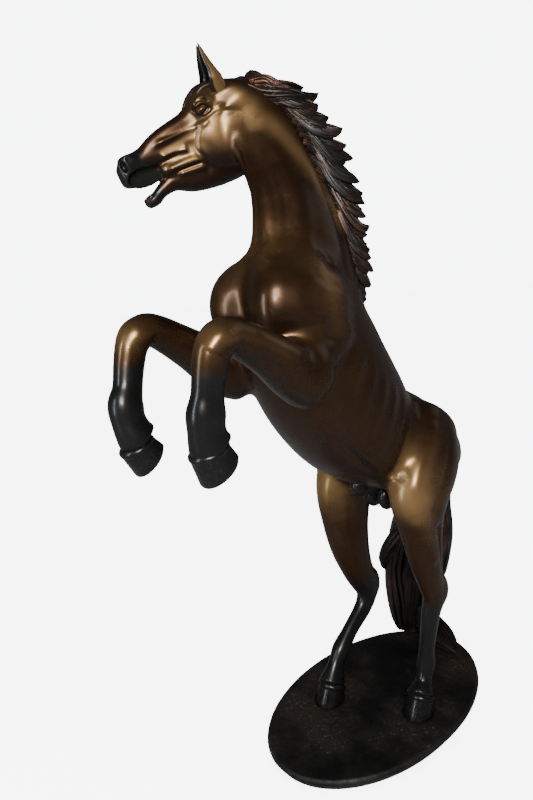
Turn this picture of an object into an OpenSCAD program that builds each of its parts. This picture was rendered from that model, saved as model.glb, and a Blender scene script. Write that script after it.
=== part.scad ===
// Rearing horse, a welded bronze casting in hollow sections on an oval base.
// Origin: centre of the base's underside. +X runs toward the head, +Y is the horse's left, +Z is up.
// Lofted limbs are lists of stations [x, y, z, half width, half depth, turn of the width about Z].

/* [Base] */
// Length of the oval base along X
base_length = 760; // [740:5:860]
// Width of the oval base along Y
base_width = 478; // [460:2:560]
// Height of the base
base_height = 36; // [32:1:50]
// Wall of the base casting
base_wall = 8; // [5:0.5:10]
// Radius of the base's top edge
base_edge = 14; // [6:1:20]

/* [Horse] */
// Height of the withers above the base
withers_height = 1170; // [1120:10:1200]
// Wall of the cast sections
wall = 6; // [4:0.5:8]

/* [Armature] */
// Diameter of the leg posts
post_d = 18; // [12:1:20]
// Diameter of the spine bar
spine_d = 24; // [16:1:30]
// Width of the base frame's flat bars
bar_w = 12; // [8:1:20]
// Depth of the base frame's flat bars
bar_h = 22; // [12:1:24]

/* [Anchors] */
// Distance between anchor bosses along X
anchor_x = 460; // [400:10:500]
// Distance between anchor bosses along Y
anchor_y = 220; // [180:10:240]
// Bore of an anchor boss
anchor_bore = 12; // [8:1:16]
// Outer diameter of an anchor boss
anchor_d = 40; // [30:1:50]

/* [Hidden] */

bronze = "#6b4a22";
dark_bronze = "#2c2420";
black_bronze = "#1b1816";
steel = "#80858a";

k = withers_height / 1170;
body_sides = 20;
limb_sides = 16;
hair_sides = 8;
bar_sides = 10;
steps = 2;
thin = 0.02;
narrow_back = -0.22;
run_out = 3;
weld_gap = 1;

trunk = [[-348, 0, 628, 88, 76], [-277, 0, 676, 126, 106], [-168, 0, 716, 146, 138],
    [-48, 0, 768, 142, 154], [42, 0, 838, 144, 178], [112, 0, 918, 144, 184], [166, 0, 998, 140, 184],
    [216, 0, 1072, 138, 174], [262, 0, 1132, 124, 150], [296, 0, 1172, 90, 104]];
neck_line = [[188, 0, 1062, 84, 118], [196, 0, 1175, 106, 152], [190, -4, 1262, 88, 136, -2],
    [184, -22, 1355, 72, 114, -6], [180, -50, 1435, 60, 102, -11], [186, -84, 1512, 54, 92, -16],
    [203, -118, 1585, 52, 80, -20], [220, -140, 1630, 46, 56, -22]];
fore_leg = [[268, 84, 1105, 36, 64], [318, 108, 985, 56, 82], [368, 122, 1008, 50, 62],
    [450, 132, 1058, 39, 46], [528, 138, 1098, 32, 36], [566, 141, 1104, 33, 35], [588, 140, 1080, 29, 31],
    [597, 137, 1036, 24, 27], [599, 134, 1002, 24, 27], [604, 130, 972, 26, 31], [603, 127, 938, 24, 29],
    [600, 124, 908, 33, 38], [583, 122, 863, 41, 46]];
left_hind = [[-184, 71, 765, 78, 116], [-117, 106, 690, 84, 126], [-52, 130, 620, 68, 104],
    [-44, 138, 520, 46, 68], [-58, 140, 430, 33, 48], [-80, 142, 345, 28, 42], [-76, 135, 272, 23, 30],
    [-68, 128, 170, 20, 24], [-64, 125, 112, 25, 28], [-49, 128, 76, 23, 27], [-28, 131, 50, 34, 38],
    [-14, 134, 21, 42, 46], [-6, 134, -15, 44, 48]];
right_hind = [[-184, -71, 765, 78, 116], [-112, -106, 680, 84, 122], [-60, -132, 590, 66, 100],
    [-70, -137, 486, 47, 65], [-110, -130, 385, 34, 50], [-131, -126, 305, 30, 45], [-88, -114, 226, 23, 30],
    [0, -98, 161, 20, 24], [45, -90, 125, 25, 28], [72, -88, 92, 23, 27], [94, -86, 53, 34, 38],
    [108, -86, 22, 42, 46], [114, -86, -14, 44, 48]];

// The head has its own axes: x from the poll to the muzzle, y to the left, z out of the forehead.
poll = [218, -150, 1660];
head_yaw = -24;
head_pitch = 29;
head_roll = -8;
skull = [[8, 0, -68, 42, 62], [45, 0, -62, 60, 92], [100, 0, -62, 66, 98], [145, 0, -70, 56, 86],
    [188, 0, -62, 42, 60], [235, 0, -46, 34, 42], [285, 0, -38, 32, 28], [322, 0, -42, 33, 36],
    [346, 0, -48, 28, 28], [356, 0, -52, 18, 18]];
jaw = [[178, 0, -122, 38, 30], [225, 0, -118, 28, 24], [270, 0, -108, 24, 15], [310, 0, -110, 22, 14],
    [334, 0, -115, 15, 11]];

// Hair: roots and tips are points of one lock, thick in the middle.
tail_line = [[-352, 2, 652, 34, 32], [-398, 6, 600, 38, 36], [-418, 6, 510, 52, 44],
    [-412, -8, 410, 76, 46], [-395, -48, 305, 100, 44], [-372, -82, 205, 102, 40],
    [-348, -84, 115, 86, 36], [-326, -62, 50, 74, 30], [-312, -30, 16, 62, 16]];
dock_end = 2;
mane_out = [-0.72, 0.42, 0];

// Vectors, smooth curves and frames
function unit(v) = v / norm(v);
function spline(a, b, c, d, t) =
    0.5 * (2 * b + (c - a) * t + (2 * a - 5 * b + 4 * c - d) * t * t + (3 * b - a - 3 * c + d) * t * t * t);
function padded(s) = [for (p = s) len(p) > 5 ? p : concat(p, 0)];
function before(s, i) = i > 0 ? s[i - 1] : 2 * s[0] - s[1];
function beyond(s, i) = i < len(s) ? s[i] : 2 * s[len(s) - 1] - s[len(s) - 2];
function smooth(s) = concat(
    [for (i = [0:len(s) - 2]) for (j = [0:steps - 1])
        spline(before(s, i), s[i], s[i + 1], beyond(s, i + 2), j / steps)],
    [s[len(s) - 1]]);
function place(p) = [p[0], p[1], p[2]];
function along(s, i) = unit(place(s[min(i + 1, len(s) - 1)]) - place(s[max(i - 1, 0)]));
function side(p, t) = let (a = [-sin(p[5]), cos(p[5]), 0]) unit(a - (a * t) * t);

// The points of one oval cross-section, square to the line of the limb and moved along it by slide
function ring(s, i, inset, sides, pinch, slide) = let (
    p = s[i], t = along(s, i), l = side(p, t), u = cross(t, l),
    ends = slide + (inset == 0 ? 0 : i == 0 ? inset : i == len(s) - 1 ? -inset : 0),
    w = max(p[3] - inset, 1), h = max(p[4] - inset, 1))
    [for (a = [0:360 / sides:359])
        place(p) + ends * t + w * cos(a) * (1 + pinch * sin(a)) * l + h * sin(a) * u];

// A limb between stations a and b, drawn as a chain of blends between its cross-sections.
// past lengthens its first and last blend, so that a core runs out through the cuts of its shell.
module limb(stations, a, b, inset = 0, sides = limb_sides, pinch = 0, past = [0, 0]) {
    s = smooth(padded(stations));
    for (i = [a * steps:b * steps - 1])
        hull() polyhedron(concat(
            ring(s, i, inset, sides, pinch, i == a * steps ? -past[0] : 0),
            ring(s, i + 1, inset, sides, pinch, i + 1 == b * steps ? past[1] : 0)),
            [[for (j = [0:2 * sides - 1]) j]]);
}

// A cast tube: the limb without its core, open at both cuts
module cast_tube(stations, a, b, sides = limb_sides, pinch = 0) {
    difference() {
        limb(stations, a, b, 0, sides, pinch);
        limb(stations, a, b, wall, sides, pinch, [run_out, run_out]);
    }
}

function mirrored(s) = [for (p = s) concat([p[0], -p[1], p[2] - 8], [p[3], p[4]])];
right_fore = mirrored(fore_leg);

module on_base() {
    translate([0, 0, base_height]) scale(k) children();
}

module head_frame() {
    translate(poll) rotate([0, 0, head_yaw]) rotate([0, head_pitch, 0]) rotate([head_roll, 0, 0]) children();
}

module body_solid(inset) {
    limb(trunk, 0, 9, inset, body_sides, narrow_back);
}

module trunk_core(a, b, past) {
    limb(trunk, a, b, wall, body_sides, narrow_back, past);
}

module thighs(inset, past = 0) {
    limb(left_hind, 0, 3, inset, past = [0, past]);
    limb(right_hind, 0, 3, inset, past = [0, past]);
}

module shoulders(inset, past = 0) {
    limb(fore_leg, 0, 2, inset, past = [0, past]);
    limb(right_fore, 0, 2, inset, past = [0, past]);
}

module head_solid(inset) {
    head_frame() limb(skull, 0, 9, inset, body_sides);
}

// The half space ahead of a trunk station, or behind it, square to the spine and half a weld gap clear of it
module ahead_of(station, forward = 1) {
    reach = 1500;
    s = smooth(padded(trunk));
    i = station * steps;
    t = along(s, i);
    l = side(s[i], t);
    u = cross(t, l);
    c = place(s[i]);
    multmatrix([[l[0], u[0], t[0], c[0]], [l[1], u[1], t[1], c[1]], [l[2], u[2], t[2], c[2]], [0, 0, 0, 1]])
        translate([-reach / 2, -reach / 2, forward > 0 ? weld_gap / 2 : -reach - weld_gap / 2]) cube(reach);
}

// Base
module oval(length, width, z) {
    translate([0, 0, z]) linear_extrude(thin) scale([length / 2, width / 2]) circle(1, $fn = 48);
}

module base_solid(inset) {
    levels = 4;
    function edge_in(z) = let (d = max(z - (base_height - base_edge), 0)) base_edge - sqrt(base_edge ^ 2 - d ^ 2);
    for (i = [0:levels - 1]) {
        z0 = i == 0 ? 0 : base_height - base_edge + base_edge * (i - 1) / (levels - 1);
        z1 = base_height - base_edge + base_edge * i / (levels - 1);
        hull() {
            oval(base_length - 2 * (inset + edge_in(z0)), base_width - 2 * (inset + edge_in(z0)),
                z0 - inset);
            oval(base_length - 2 * (inset + edge_in(z1)), base_width - 2 * (inset + edge_in(z1)),
                z1 - inset - thin);
        }
    }
}

left_post_at = [-14, 134];
right_post_at = [108, -86];
post_holes = [left_post_at, right_post_at];

module base_plate() {
    color(black_bronze)
        difference() {
            base_solid(0);
            base_solid(base_wall);
            for (p = post_holes)
                translate([p[0] * k, p[1] * k, 0]) cylinder(h = base_height + 1, d = post_d + 1, $fn = 32);
        }
}

under_top = base_height - base_wall - thin;
rail_y = 45;
cross_bars = [-190, 50, 200];

module base_frame() {
    z = under_top - bar_h;
    color(steel)
        union() {
            for (s = [-1, 1])
                translate([-250, s * rail_y - bar_w / 2, z]) cube([500, bar_w, bar_h]);
            for (x = cross_bars)
                translate([x - bar_w / 2, -165, z]) cube([bar_w, 330, bar_h]);
        }
}

module anchor_bosses() {
    color(steel)
        for (sx = [-1, 1], sy = [-1, 1])
            translate([sx * anchor_x / 2, sy * anchor_y / 2, 0])
                difference() {
                    cylinder(h = under_top, d = anchor_d, $fn = 64);
                    translate([0, 0, -1]) cylinder(h = under_top + 2, d = anchor_bore, $fn = 48);
                }
}

// Cast body sections
module hindquarters() {
    color(bronze) on_base()
        difference() {
            union() {
                limb(trunk, 0, 3, 0, body_sides, narrow_back);
                intersection() {
                    thighs(0);
                    ahead_of(3, -1);
                }
            }
            trunk_core(0, 3, [0, run_out]);
            thighs(wall, run_out);
        }
}

module barrel() {
    color(bronze) on_base()
        difference() {
            union() {
                limb(trunk, 3, 5, 0, body_sides, narrow_back);
                intersection() {
                    thighs(0);
                    ahead_of(3);
                }
            }
            trunk_core(3, 5, [run_out, run_out]);
            thighs(wall, run_out);
        }
}

module forequarters() {
    color(bronze) on_base()
        difference() {
            union() {
                limb(trunk, 5, 9, 0, body_sides, narrow_back);
                intersection() {
                    union() {
                        limb(neck_line, 0, 2, 0, body_sides);
                        shoulders(0);
                    }
                    ahead_of(5);
                }
            }
            trunk_core(5, 9, [run_out, 0]);
            limb(neck_line, 0, 2, wall, body_sides, 0, [0, run_out]);
            shoulders(wall, run_out);
        }
}

module neck() {
    color(bronze) on_base()
        difference() {
            cast_tube(neck_line, 2, 6, body_sides);
            head_solid(0);
        }
}

module head() {
    color(bronze) on_base()
        difference() {
            union() {
                head_solid(0);
                limb(neck_line, 6, 7, 0, body_sides);
            }
            head_solid(wall);
            limb(neck_line, 5, 7, wall, body_sides);
        }
}

module lower_jaw() {
    color(dark_bronze) on_base()
        difference() {
            head_frame() limb(jaw, 0, 4);
            head_solid(0);
        }
}

// Ears, solid castings with a hollow front
ear_line = [[30, 40, 6, 16, 14], [44, 46, 34, 20, 13], [54, 50, 62, 18, 11], [62, 51, 88, 11, 7],
    [66, 50, 106, 3, 3]];

module ear(hand) {
    color(bronze) on_base()
        difference() {
            head_frame() scale([1, hand, 1]) limb(ear_line, 0, 4, 0, hair_sides * 2);
            head_frame() scale([1, hand, 1]) translate([13, 0, 0]) limb(ear_line, 1, 3, 4, hair_sides * 2);
            head_solid(0);
            limb(neck_line, 5, 7, 0, body_sides);
        }
}

module left_ear() { ear(1); }
module right_ear() { ear(-1); }

forelock_line = [[20, 0, 24, 26, 18], [62, 2, 40, 30, 16], [105, 4, 34, 24, 12], [140, 4, 20, 12, 8]];

module forelock() {
    color(dark_bronze) on_base()
        difference() {
            head_frame() limb(forelock_line, 0, 3, 0, hair_sides * 2);
            head_solid(0);
            limb(neck_line, 5, 7, 0, body_sides);
            ear_roots();
        }
}

module ear_roots() {
    for (hand = [-1, 1]) head_frame() scale([1, hand, 1]) limb(ear_line, 0, 4, 0, hair_sides * 2);
}

// Mane: locks that spring from the crest and sweep back, shorter toward the poll
function crest(at) = let (s = smooth(padded(neck_line)), i = at * steps, t = along(s, i))
    place(s[i]) + cross(t, side(s[i], t)) * (s[i][4] - 16);
function lock_line(at, length, drop) = let (r = crest(at), o = unit(mane_out)) [
    concat(r, [16, 34]),
    concat(r + 0.35 * length * o + [0, 0, 0.08 * length], [18, 34]),
    concat(r + 0.70 * length * o - [0, 0, drop * 0.4], [14, 26]),
    concat(r + length * o - [0, 0, drop], [4, 6])];

module mane_locks(first, last, length, drop) {
    for (at = [first:1 / steps:last])
        limb(lock_line(at, length, drop * (8 - at) / 8), 0, 3, 0, hair_sides);
}

module mane_section(first, last, length, drop) {
    color(dark_bronze) on_base()
        difference() {
            mane_locks(first, last, length, drop);
            limb(neck_line, 0, 7, 0, body_sides);
            body_solid(0);
            head_solid(0);
            children();
        }
}

module mane_upper() { mane_section(6, 7, 118, 30) { ear_roots(); } }
module mane_middle() { mane_section(4, 5.5, 124, 60) mane_locks(6, 7, 118, 30); }
module mane_lower() { mane_section(2, 3.5, 104, 80) mane_locks(4, 5.5, 124, 60); }

// Legs
module leg_piece(stations, a, b) {
    color(b > 6 ? dark_bronze : bronze) on_base() difference() {
        cast_tube(stations, a, b);
        body_solid(0);
    }
}

module left_forearm() { leg_piece(fore_leg, 2, 6); }
module right_forearm() { leg_piece(right_fore, 2, 6); }
module left_fore_cannon() { leg_piece(fore_leg, 6, 11); }
module right_fore_cannon() { leg_piece(right_fore, 6, 11); }
module left_gaskin() { leg_piece(left_hind, 3, 6); }
module right_gaskin() { leg_piece(right_hind, 3, 6); }
module left_hind_cannon() { leg_piece(left_hind, 6, 10); }
module right_hind_cannon() { leg_piece(right_hind, 6, 10); }

module fore_hoof(stations) {
    color(black_bronze) on_base() limb(stations, 11, 12);
}

module hind_hoof(stations, at) {
    color(black_bronze) on_base()
        difference() {
            limb(stations, 10, 12);
            translate([0, 0, -200]) cylinder(h = 200, r = 900);
            translate([at[0], at[1], -1]) cylinder(h = 120, d = post_d + 1, $fn = 24);
            leg_post_line(stations, at, 0.5);
        }
}

module left_fore_hoof() { fore_hoof(fore_leg); }
module right_fore_hoof() { fore_hoof(right_fore); }
module left_hind_hoof() { hind_hoof(left_hind, left_post_at); }
module right_hind_hoof() { hind_hoof(right_hind, right_post_at); }

// Tail and sheath
module tail_dock() {
    color(dark_bronze) on_base()
        difference() {
            cast_tube(tail_line, 0, dock_end);
            limb(trunk, 0, 3, 0, body_sides, narrow_back);
            thighs(0);
        }
}

module tail_switch() {
    color(dark_bronze) on_base()
        difference() {
            cast_tube(tail_line, dock_end, 8);
            translate([0, 0, -200]) cylinder(h = 200, r = 900);
        }
}

module sheath() {
    color(dark_bronze) on_base()
        difference() {
            union() {
                hull() {
                    translate([40, 0, 648]) sphere(26, $fn = 16);
                    translate([-20, 0, 604]) sphere(30, $fn = 16);
                }
                for (s = [-1, 1])
                    hull() {
                        translate([-78, s * 22, 590]) sphere(26, $fn = 16);
                        translate([-92, s * 22, 566]) sphere(24, $fn = 16);
                    }
            }
            resize([0, 0, 0]) body_solid(0);
            resize([0, 0, 0]) thighs(0);
        }
}

// Steel armature inside the hind legs and the spine
post_top = 760;

module leg_post_line(stations, at, clearance = 0) {
    r = post_d / 2 + clearance;
    top = [stations[1][0], 0.9 * stations[1][1]];
    line = concat(
        [[at[0], at[1], -30, r, r], [at[0], at[1], 24, r, r]],
        [for (i = [10:-1:2]) [stations[i][0], stations[i][1], stations[i][2], r, r]],
        [[top[0], top[1], post_top - 40, r, r], [top[0], top[1], post_top, r, r]]);
    limb(line, 0, len(line) - 1, 0, bar_sides);
}

module left_leg_post() { color(steel) on_base() leg_post_line(left_hind, left_post_at); }
module right_leg_post() { color(steel) on_base() leg_post_line(right_hind, right_post_at); }

spine_line = [[-112, 0, 772], [-112, 0, 800], [-30, 0, 850], [60, 0, 900], [130, 0, 980], [175, 0, 1080],
    [190, -4, 1240], [182, -40, 1420], [192, -95, 1530], [205, -118, 1580]];

module spine_bar() {
    r = spine_d / 2;
    color(steel) on_base()
        union() {
            translate([-142, -125, post_top]) cube([60, 250, 12]);
            limb([for (p = spine_line) concat(p, [r, r])], 0, len(spine_line) - 1, 0, bar_sides);
        }
}

nut_h = 12;
washer_h = 3;

module at_posts(z) {
    for (p = post_holes) translate([p[0] * k, p[1] * k, z]) children();
}

module post_washers() {
    color(steel) at_posts(under_top - washer_h)
        difference() {
            cylinder(h = washer_h, d = 2 * post_d, $fn = 48);
            translate([0, 0, -1]) cylinder(h = washer_h + 2, d = post_d + 1, $fn = 48);
        }
}

module post_nuts() {
    color(steel) at_posts(under_top - washer_h - nut_h)
        difference() {
            cylinder(h = nut_h, d = 1.8 * post_d, $fn = 6);
            translate([0, 0, -1]) cylinder(h = nut_h + 2, d = post_d + 0.4, $fn = 48);
        }
}

base_plate();
base_frame();
anchor_bosses();
hindquarters();
barrel();
forequarters();
neck();
head();
lower_jaw();
left_ear();
right_ear();
forelock();
mane_upper();
mane_middle();
mane_lower();
left_forearm();
right_forearm();
left_fore_cannon();
right_fore_cannon();
left_fore_hoof();
right_fore_hoof();
left_gaskin();
right_gaskin();
left_hind_cannon();
right_hind_cannon();
left_hind_hoof();
right_hind_hoof();
tail_dock();
tail_switch();
sheath();
left_leg_post();
right_leg_post();
spine_bar();
post_nuts();
post_washers();
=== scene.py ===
"""Rearing bronze horse on an oval base: the looks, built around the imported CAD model."""

import bmesh
import bpy
import numpy as np
from mathutils import Matrix, Vector


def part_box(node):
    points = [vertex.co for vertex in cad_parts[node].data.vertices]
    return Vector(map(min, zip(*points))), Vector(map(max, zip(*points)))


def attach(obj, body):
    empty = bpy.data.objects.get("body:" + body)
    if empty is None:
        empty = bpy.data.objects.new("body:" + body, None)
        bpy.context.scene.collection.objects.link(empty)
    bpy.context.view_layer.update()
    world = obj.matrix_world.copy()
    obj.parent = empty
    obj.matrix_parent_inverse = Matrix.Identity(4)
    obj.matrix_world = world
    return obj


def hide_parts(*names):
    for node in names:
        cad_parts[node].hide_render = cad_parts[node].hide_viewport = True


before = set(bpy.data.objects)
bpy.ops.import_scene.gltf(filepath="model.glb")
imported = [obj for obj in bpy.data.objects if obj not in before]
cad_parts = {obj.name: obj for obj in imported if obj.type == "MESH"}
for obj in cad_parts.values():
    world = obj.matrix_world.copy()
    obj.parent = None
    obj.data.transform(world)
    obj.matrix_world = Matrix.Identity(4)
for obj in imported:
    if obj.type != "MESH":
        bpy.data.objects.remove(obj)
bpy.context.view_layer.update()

MM = 0.001
BASE_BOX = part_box("base_plate")
BASE_TOP = BASE_BOX[1].z / MM
SEED = 7
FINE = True
FAR = 900.0
REACH = 75.0


# ---- Small vector tools. Lengths are millimetres, heights count from the base's top. ----

def vec(*values):
    return np.array(values, float)


def unit(v):
    v = np.asarray(v, float)
    return v / np.maximum(np.linalg.norm(v, axis=-1, keepdims=True), 1e-9)


def smooth_step(x):
    x = np.clip(x, 0, 1)
    return x * x * (3 - 2 * x)


def spline(rows, steps):
    """A smooth line through the rows, with so many steps between neighbours."""
    rows = np.asarray(rows, float)
    ends = np.vstack([2 * rows[0] - rows[1], rows, 2 * rows[-1] - rows[-2]])
    out = []
    for i in range(len(rows) - 1):
        a, b, c, d = ends[i:i + 4]
        for t in np.arange(steps) / steps:
            curve = 2 * b + (c - a) * t
            curve = curve + (2 * a - 5 * b + 4 * c - d) * t ** 2
            curve = curve + (3 * b - a - 3 * c + d) * t ** 3
            out.append(0.5 * curve)
    return np.array(out + [rows[-1]])


def inside_box(P, lo, hi):
    return ((P > lo) & (P < hi)).all(1)


# ---- Sculpting with distance fields ----

class Limb:
    """A smooth oval tube through stations (x, y, z, half width, half depth, turn about Z)."""

    def __init__(self, rows, pinch=0.0, round_end=0.6):
        rows = np.array([tuple(r) + (0,) * (6 - len(r)) for r in rows], float)
        self.pinch = pinch
        self.round_end = round_end
        self.last = len(rows) - 1
        turn = np.radians(rows[:, 5])
        across = np.stack([-np.sin(turn), np.cos(turn), 0 * turn], 1)
        table = np.column_stack([rows[:, :5], across])
        ends = np.vstack([2 * table[0] - table[1], table, 2 * table[-1] - table[-2]])
        a, b, c, d = ends[:-3], ends[1:-2], ends[2:-1], ends[3:]
        self.power = 0.5 * np.stack([2 * b, c - a, 2 * a - 5 * b + 4 * c - d, 3 * b - a - 3 * c + d])
        self.coarse = self.rows_at(np.linspace(0, self.last, 2 * self.last + 1))[0]
        margin = rows[:, 3:5].max() + REACH
        self.low = rows[:, :3].min(0) - margin
        self.high = rows[:, :3].max(0) + margin

    def rows_at(self, t):
        """Centre, radii and side at places along the limb, and how fast they change."""
        i = np.clip(t.astype(int), 0, self.last - 1)
        f = (t - i)[:, None]
        c0, c1, c2, c3 = self.power[:, i]
        return c0 + f * (c1 + f * (c2 + f * c3)), c1 + f * (2 * c2 + 3 * f * c3)

    def nearest(self, P):
        """The place along the limb closest to each point."""
        best = np.full(len(P), 1e12)
        t = np.zeros(len(P))
        line = self.coarse[:, :3]
        for k in range(len(line) - 1):
            ab = line[k + 1] - line[k]
            q = P - line[k]
            s = np.clip(q @ ab / (ab @ ab), 0, 1)
            q = q - s[:, None] * ab
            d = (q * q).sum(1)
            hit = d < best
            best[hit] = d[hit]
            t[hit] = 0.5 * (k + s[hit])
        for _ in range(3):
            t = self.closer(P, t)
        return t

    def closer(self, P, t):
        """One Newton step toward the nearest place on the centre line."""
        i = np.clip(t.astype(int), 0, self.last - 1)
        f = (t - i)[:, None]
        c0, c1, c2, c3 = self.power[:, i, :3]
        away = P - c0 - f * (c1 + f * (c2 + f * c3))
        rate = c1 + f * (2 * c2 + 3 * f * c3)
        bend = 2 * c2 + 6 * f * c3
        speed = (rate * rate).sum(1)
        slope = np.maximum(speed - (away * bend).sum(1), 0.3 * speed)
        return np.clip(t + np.clip((away * rate).sum(1) / slope, -0.3, 0.3), 0, self.last)

    def frame_at(self, t):
        """Centre, side, up and radii at places along the limb."""
        row, rate = self.rows_at(t)
        along = unit(rate[:, :3])
        side = row[:, 5:8]
        side = unit(side - (side * along).sum(1, keepdims=True) * along)
        return row[:, :3], side, np.cross(along, side), row[:, 3], row[:, 4]

    def __call__(self, P):
        out = np.full(len(P), FAR)
        near = inside_box(P, self.low, self.high)
        if not near.any():
            return out
        p = P[near]
        t = self.nearest(p)
        centre, side, up, w, h = self.frame_at(t)
        q = p - centre
        x = (q * side).sum(1)
        y = (q * up).sum(1)
        beyond = (t <= 0) | (t >= self.last)
        z2 = np.where(beyond, (q * np.cross(side, up)).sum(1), 0) ** 2
        w = w * (1 + self.pinch * np.clip(y / h, -1, 1))
        m = self.round_end * np.minimum(w, h)
        k0 = np.sqrt((x / w) ** 2 + (y / h) ** 2 + z2 / m ** 2)
        k1 = np.sqrt((x / w ** 2) ** 2 + (y / h ** 2) ** 2 + z2 / m ** 4)
        out[near] = k0 * (k0 - 1) / np.maximum(k1, 1e-6)
        return out


def blend(a, b, k):
    """The two shapes as one, with a fillet about k wide between them."""
    h = np.maximum(k - np.abs(a - b), 0) / k
    return np.minimum(a, b) - h * h * k / 4


def carve(a, b, k):
    return -blend(-a, b, k)


def ellipsoid(P, centre, radii):
    out = np.full(len(P), FAR)
    c = vec(*centre)
    r = vec(*radii)
    near = inside_box(P, c - r - REACH, c + r + REACH)
    q = P[near] - c
    k0 = np.linalg.norm(q / r, axis=1)
    k1 = np.linalg.norm(q / r ** 2, axis=1)
    out[near] = k0 * (k0 - 1) / np.maximum(k1, 1e-6)
    return out


def to_line(P, pts):
    """Distance to a polyline, and the place along it from 0 to 1."""
    best = np.full(len(P), 1e9)
    at = np.zeros(len(P))
    n = len(pts) - 1
    for i in range(n):
        a = pts[i]
        ab = pts[i + 1] - a
        t = np.clip((P - a) @ ab / (ab @ ab), 0, 1)
        d = np.linalg.norm(P - a - t[:, None] * ab, axis=1)
        hit = d < best
        best[hit] = d[hit]
        at[hit] = (i + t[hit]) / n
    return best, at


def bump(P, centre, size, height):
    """A soft swelling, or a hollow where the height is negative."""
    out = np.zeros(len(P))
    c = vec(*centre)
    s = np.broadcast_to(np.asarray(size, float), 3)
    near = inside_box(P, c - 3.5 * s, c + 3.5 * s)
    q = (P[near] - c) / s
    out[near] = height * np.exp(-0.5 * (q * q).sum(1))
    return out


def ridge(P, pts, width, height, steps=4, fade=5.0):
    """A swelling along a curve, fading at both ends."""
    out = np.zeros(len(P))
    pts = spline(pts, steps) if len(pts) > 2 else np.asarray(pts, float)
    near = inside_box(P, pts.min(0) - 3.2 * width, pts.max(0) + 3.2 * width)
    if not near.any():
        return out
    d, at = to_line(P[near], pts)
    ends = smooth_step(np.minimum(at, 1 - at) * fade + 0.15)
    out[near] = height * ends * np.exp(-0.5 * (d / width) ** 2)
    return out


def relief(P, rows):
    """The sum of a table's ridges: (height, width, line). A negative height is a groove."""
    h = np.zeros(len(P))
    for height, width, line in rows:
        h += ridge(P, line, width, height)
    return h


# ---- The horse's stations: those of the CAD model, with the joints and the back refined ----

TRUNK = [(-336, 0, 634, 78, 70), (-275, 0, 676, 124, 104), (-168, 0, 716, 144, 136),
         (-48, 0, 768, 138, 150), (38, 0, 841, 140, 178), (107, 0, 922, 140, 188),
         (160, 0, 1002, 134, 189), (214, 0, 1073, 130, 173), (258, 0, 1130, 124, 142),
         (288, 0, 1172, 96, 100)]
NECK = [(188, 0, 1062, 84, 118), (196, 0, 1175, 102, 150), (190, -4, 1262, 84, 134, -2),
        (184, -22, 1355, 69, 112, -6), (180, -50, 1435, 58, 101, -11), (186, -84, 1512, 52, 92, -16),
        (203, -118, 1585, 50, 80, -20), (216, -138, 1626, 42, 54, -22)]
UPPER_ARM = [(268, 84, 1105, 36, 64), (296, 98, 1040, 50, 74), (324, 110, 994, 50, 62)]
LEFT_FORE = [(320, 110, 994, 50, 68), (370, 122, 1010, 49, 62), (450, 132, 1058, 38, 46),
             (526, 138, 1098, 33, 37), (562, 141, 1103, 34, 36), (586, 140, 1082, 32, 36),
             (597, 138, 1042, 29, 34), (602, 134, 1004, 28, 33), (607, 130, 970, 33, 39),
             (607, 127, 940, 32, 38), (601, 124, 908, 37, 42), (592, 123, 890, 38, 43)]
RIGHT_FORE = [(320, -110, 994, 50, 68), (370, -122, 1010, 49, 62), (450, -132, 1064, 38, 46),
              (520, -138, 1107, 33, 37), (554, -141, 1112, 34, 36), (581, -140, 1090, 32, 36),
              (597, -138, 1046, 29, 34), (609, -134, 1000, 28, 33), (621, -130, 964, 33, 39),
              (620, -127, 930, 32, 38), (610, -124, 897, 37, 42), (600, -123, 878, 38, 43)]
LEFT_HIND = [(-180, 70, 765, 78, 104), (-114, 106, 690, 84, 116), (-54, 130, 620, 66, 104),
             (-46, 138, 530, 48, 72), (-58, 140, 440, 38, 55), (-76, 141, 372, 31, 44),
             (-92, 140, 318, 27, 40), (-80, 135, 262, 23, 31), (-68, 128, 170, 20, 24),
             (-63, 125, 112, 25, 28), (-48, 128, 76, 22, 27), (-30, 131, 50, 33, 40)]
RIGHT_HIND = [(-182, -70, 765, 78, 116), (-112, -106, 680, 84, 122), (-66, -132, 585, 66, 104),
              (-50, -126, 497, 54, 86), (-45, -112, 421, 46, 70), (-60, -101, 342, 36, 54),
              (-87, -92, 267, 29, 41), (-68, -90, 217, 23, 31), (2, -89, 166, 20, 25),
              (45, -90, 126, 25, 28), (72, -88, 92, 22, 27), (94, -86, 54, 33, 40)]
RIGHT_FORE_RISE = 6
CHEEK_DISC = (106, -88, 70, 60)
CHEEK = [(140, 0, -94, 42, 52), (190, 0, -88, 36, 40), (235, 0, -83, 29, 29), (260, 0, -80, 25, 22)]

# The head's own axes run forward from the poll, left, and up out of the forehead.
POLL = vec(218, -150, 1660)
HEAD_YAW, HEAD_PITCH, HEAD_ROLL = np.radians((-24, 29, -8))
SKULL = [(8, 0, -70, 34, 56), (45, 0, -62, 46, 84), (100, 0, -58, 48, 86), (145, 0, -58, 42, 66),
         (188, 0, -46, 32, 46), (235, 0, -38, 27, 36), (285, 0, -36, 25, 27), (318, 0, -40, 26, 32),
         (344, 0, -46, 24, 27)]
JAW = [(96, 0, -134, 38, 54), (150, 0, -132, 34, 46), (205, 0, -124, 28, 36), (250, 0, -110, 23, 24),
       (286, 0, -112, 19, 17), (314, 0, -119, 17, 14), (331, 0, -120, 14, 12)]
MOUTH = [(274, 0, -80, 60, 6), (285, 0, -77, 60, 16), (305, 0, -70, 60, 24), (327, 0, -62, 60, 23),
         (340, 0, -54, 60, 14)]
GAPE = [(284, 0, -93, 60, 2), (304, 0, -97, 60, 6), (331, 0, -99, 60, 14), (364, 0, -94, 60, 27)]
TONGUE = [(262, 0, -82, 10, 16), (284, 0, -76, 8, 22), (306, 0, -68, 7, 24), (328, 0, -62, 7, 21),
          (342, 0, -56, 6, 13)]
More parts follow.
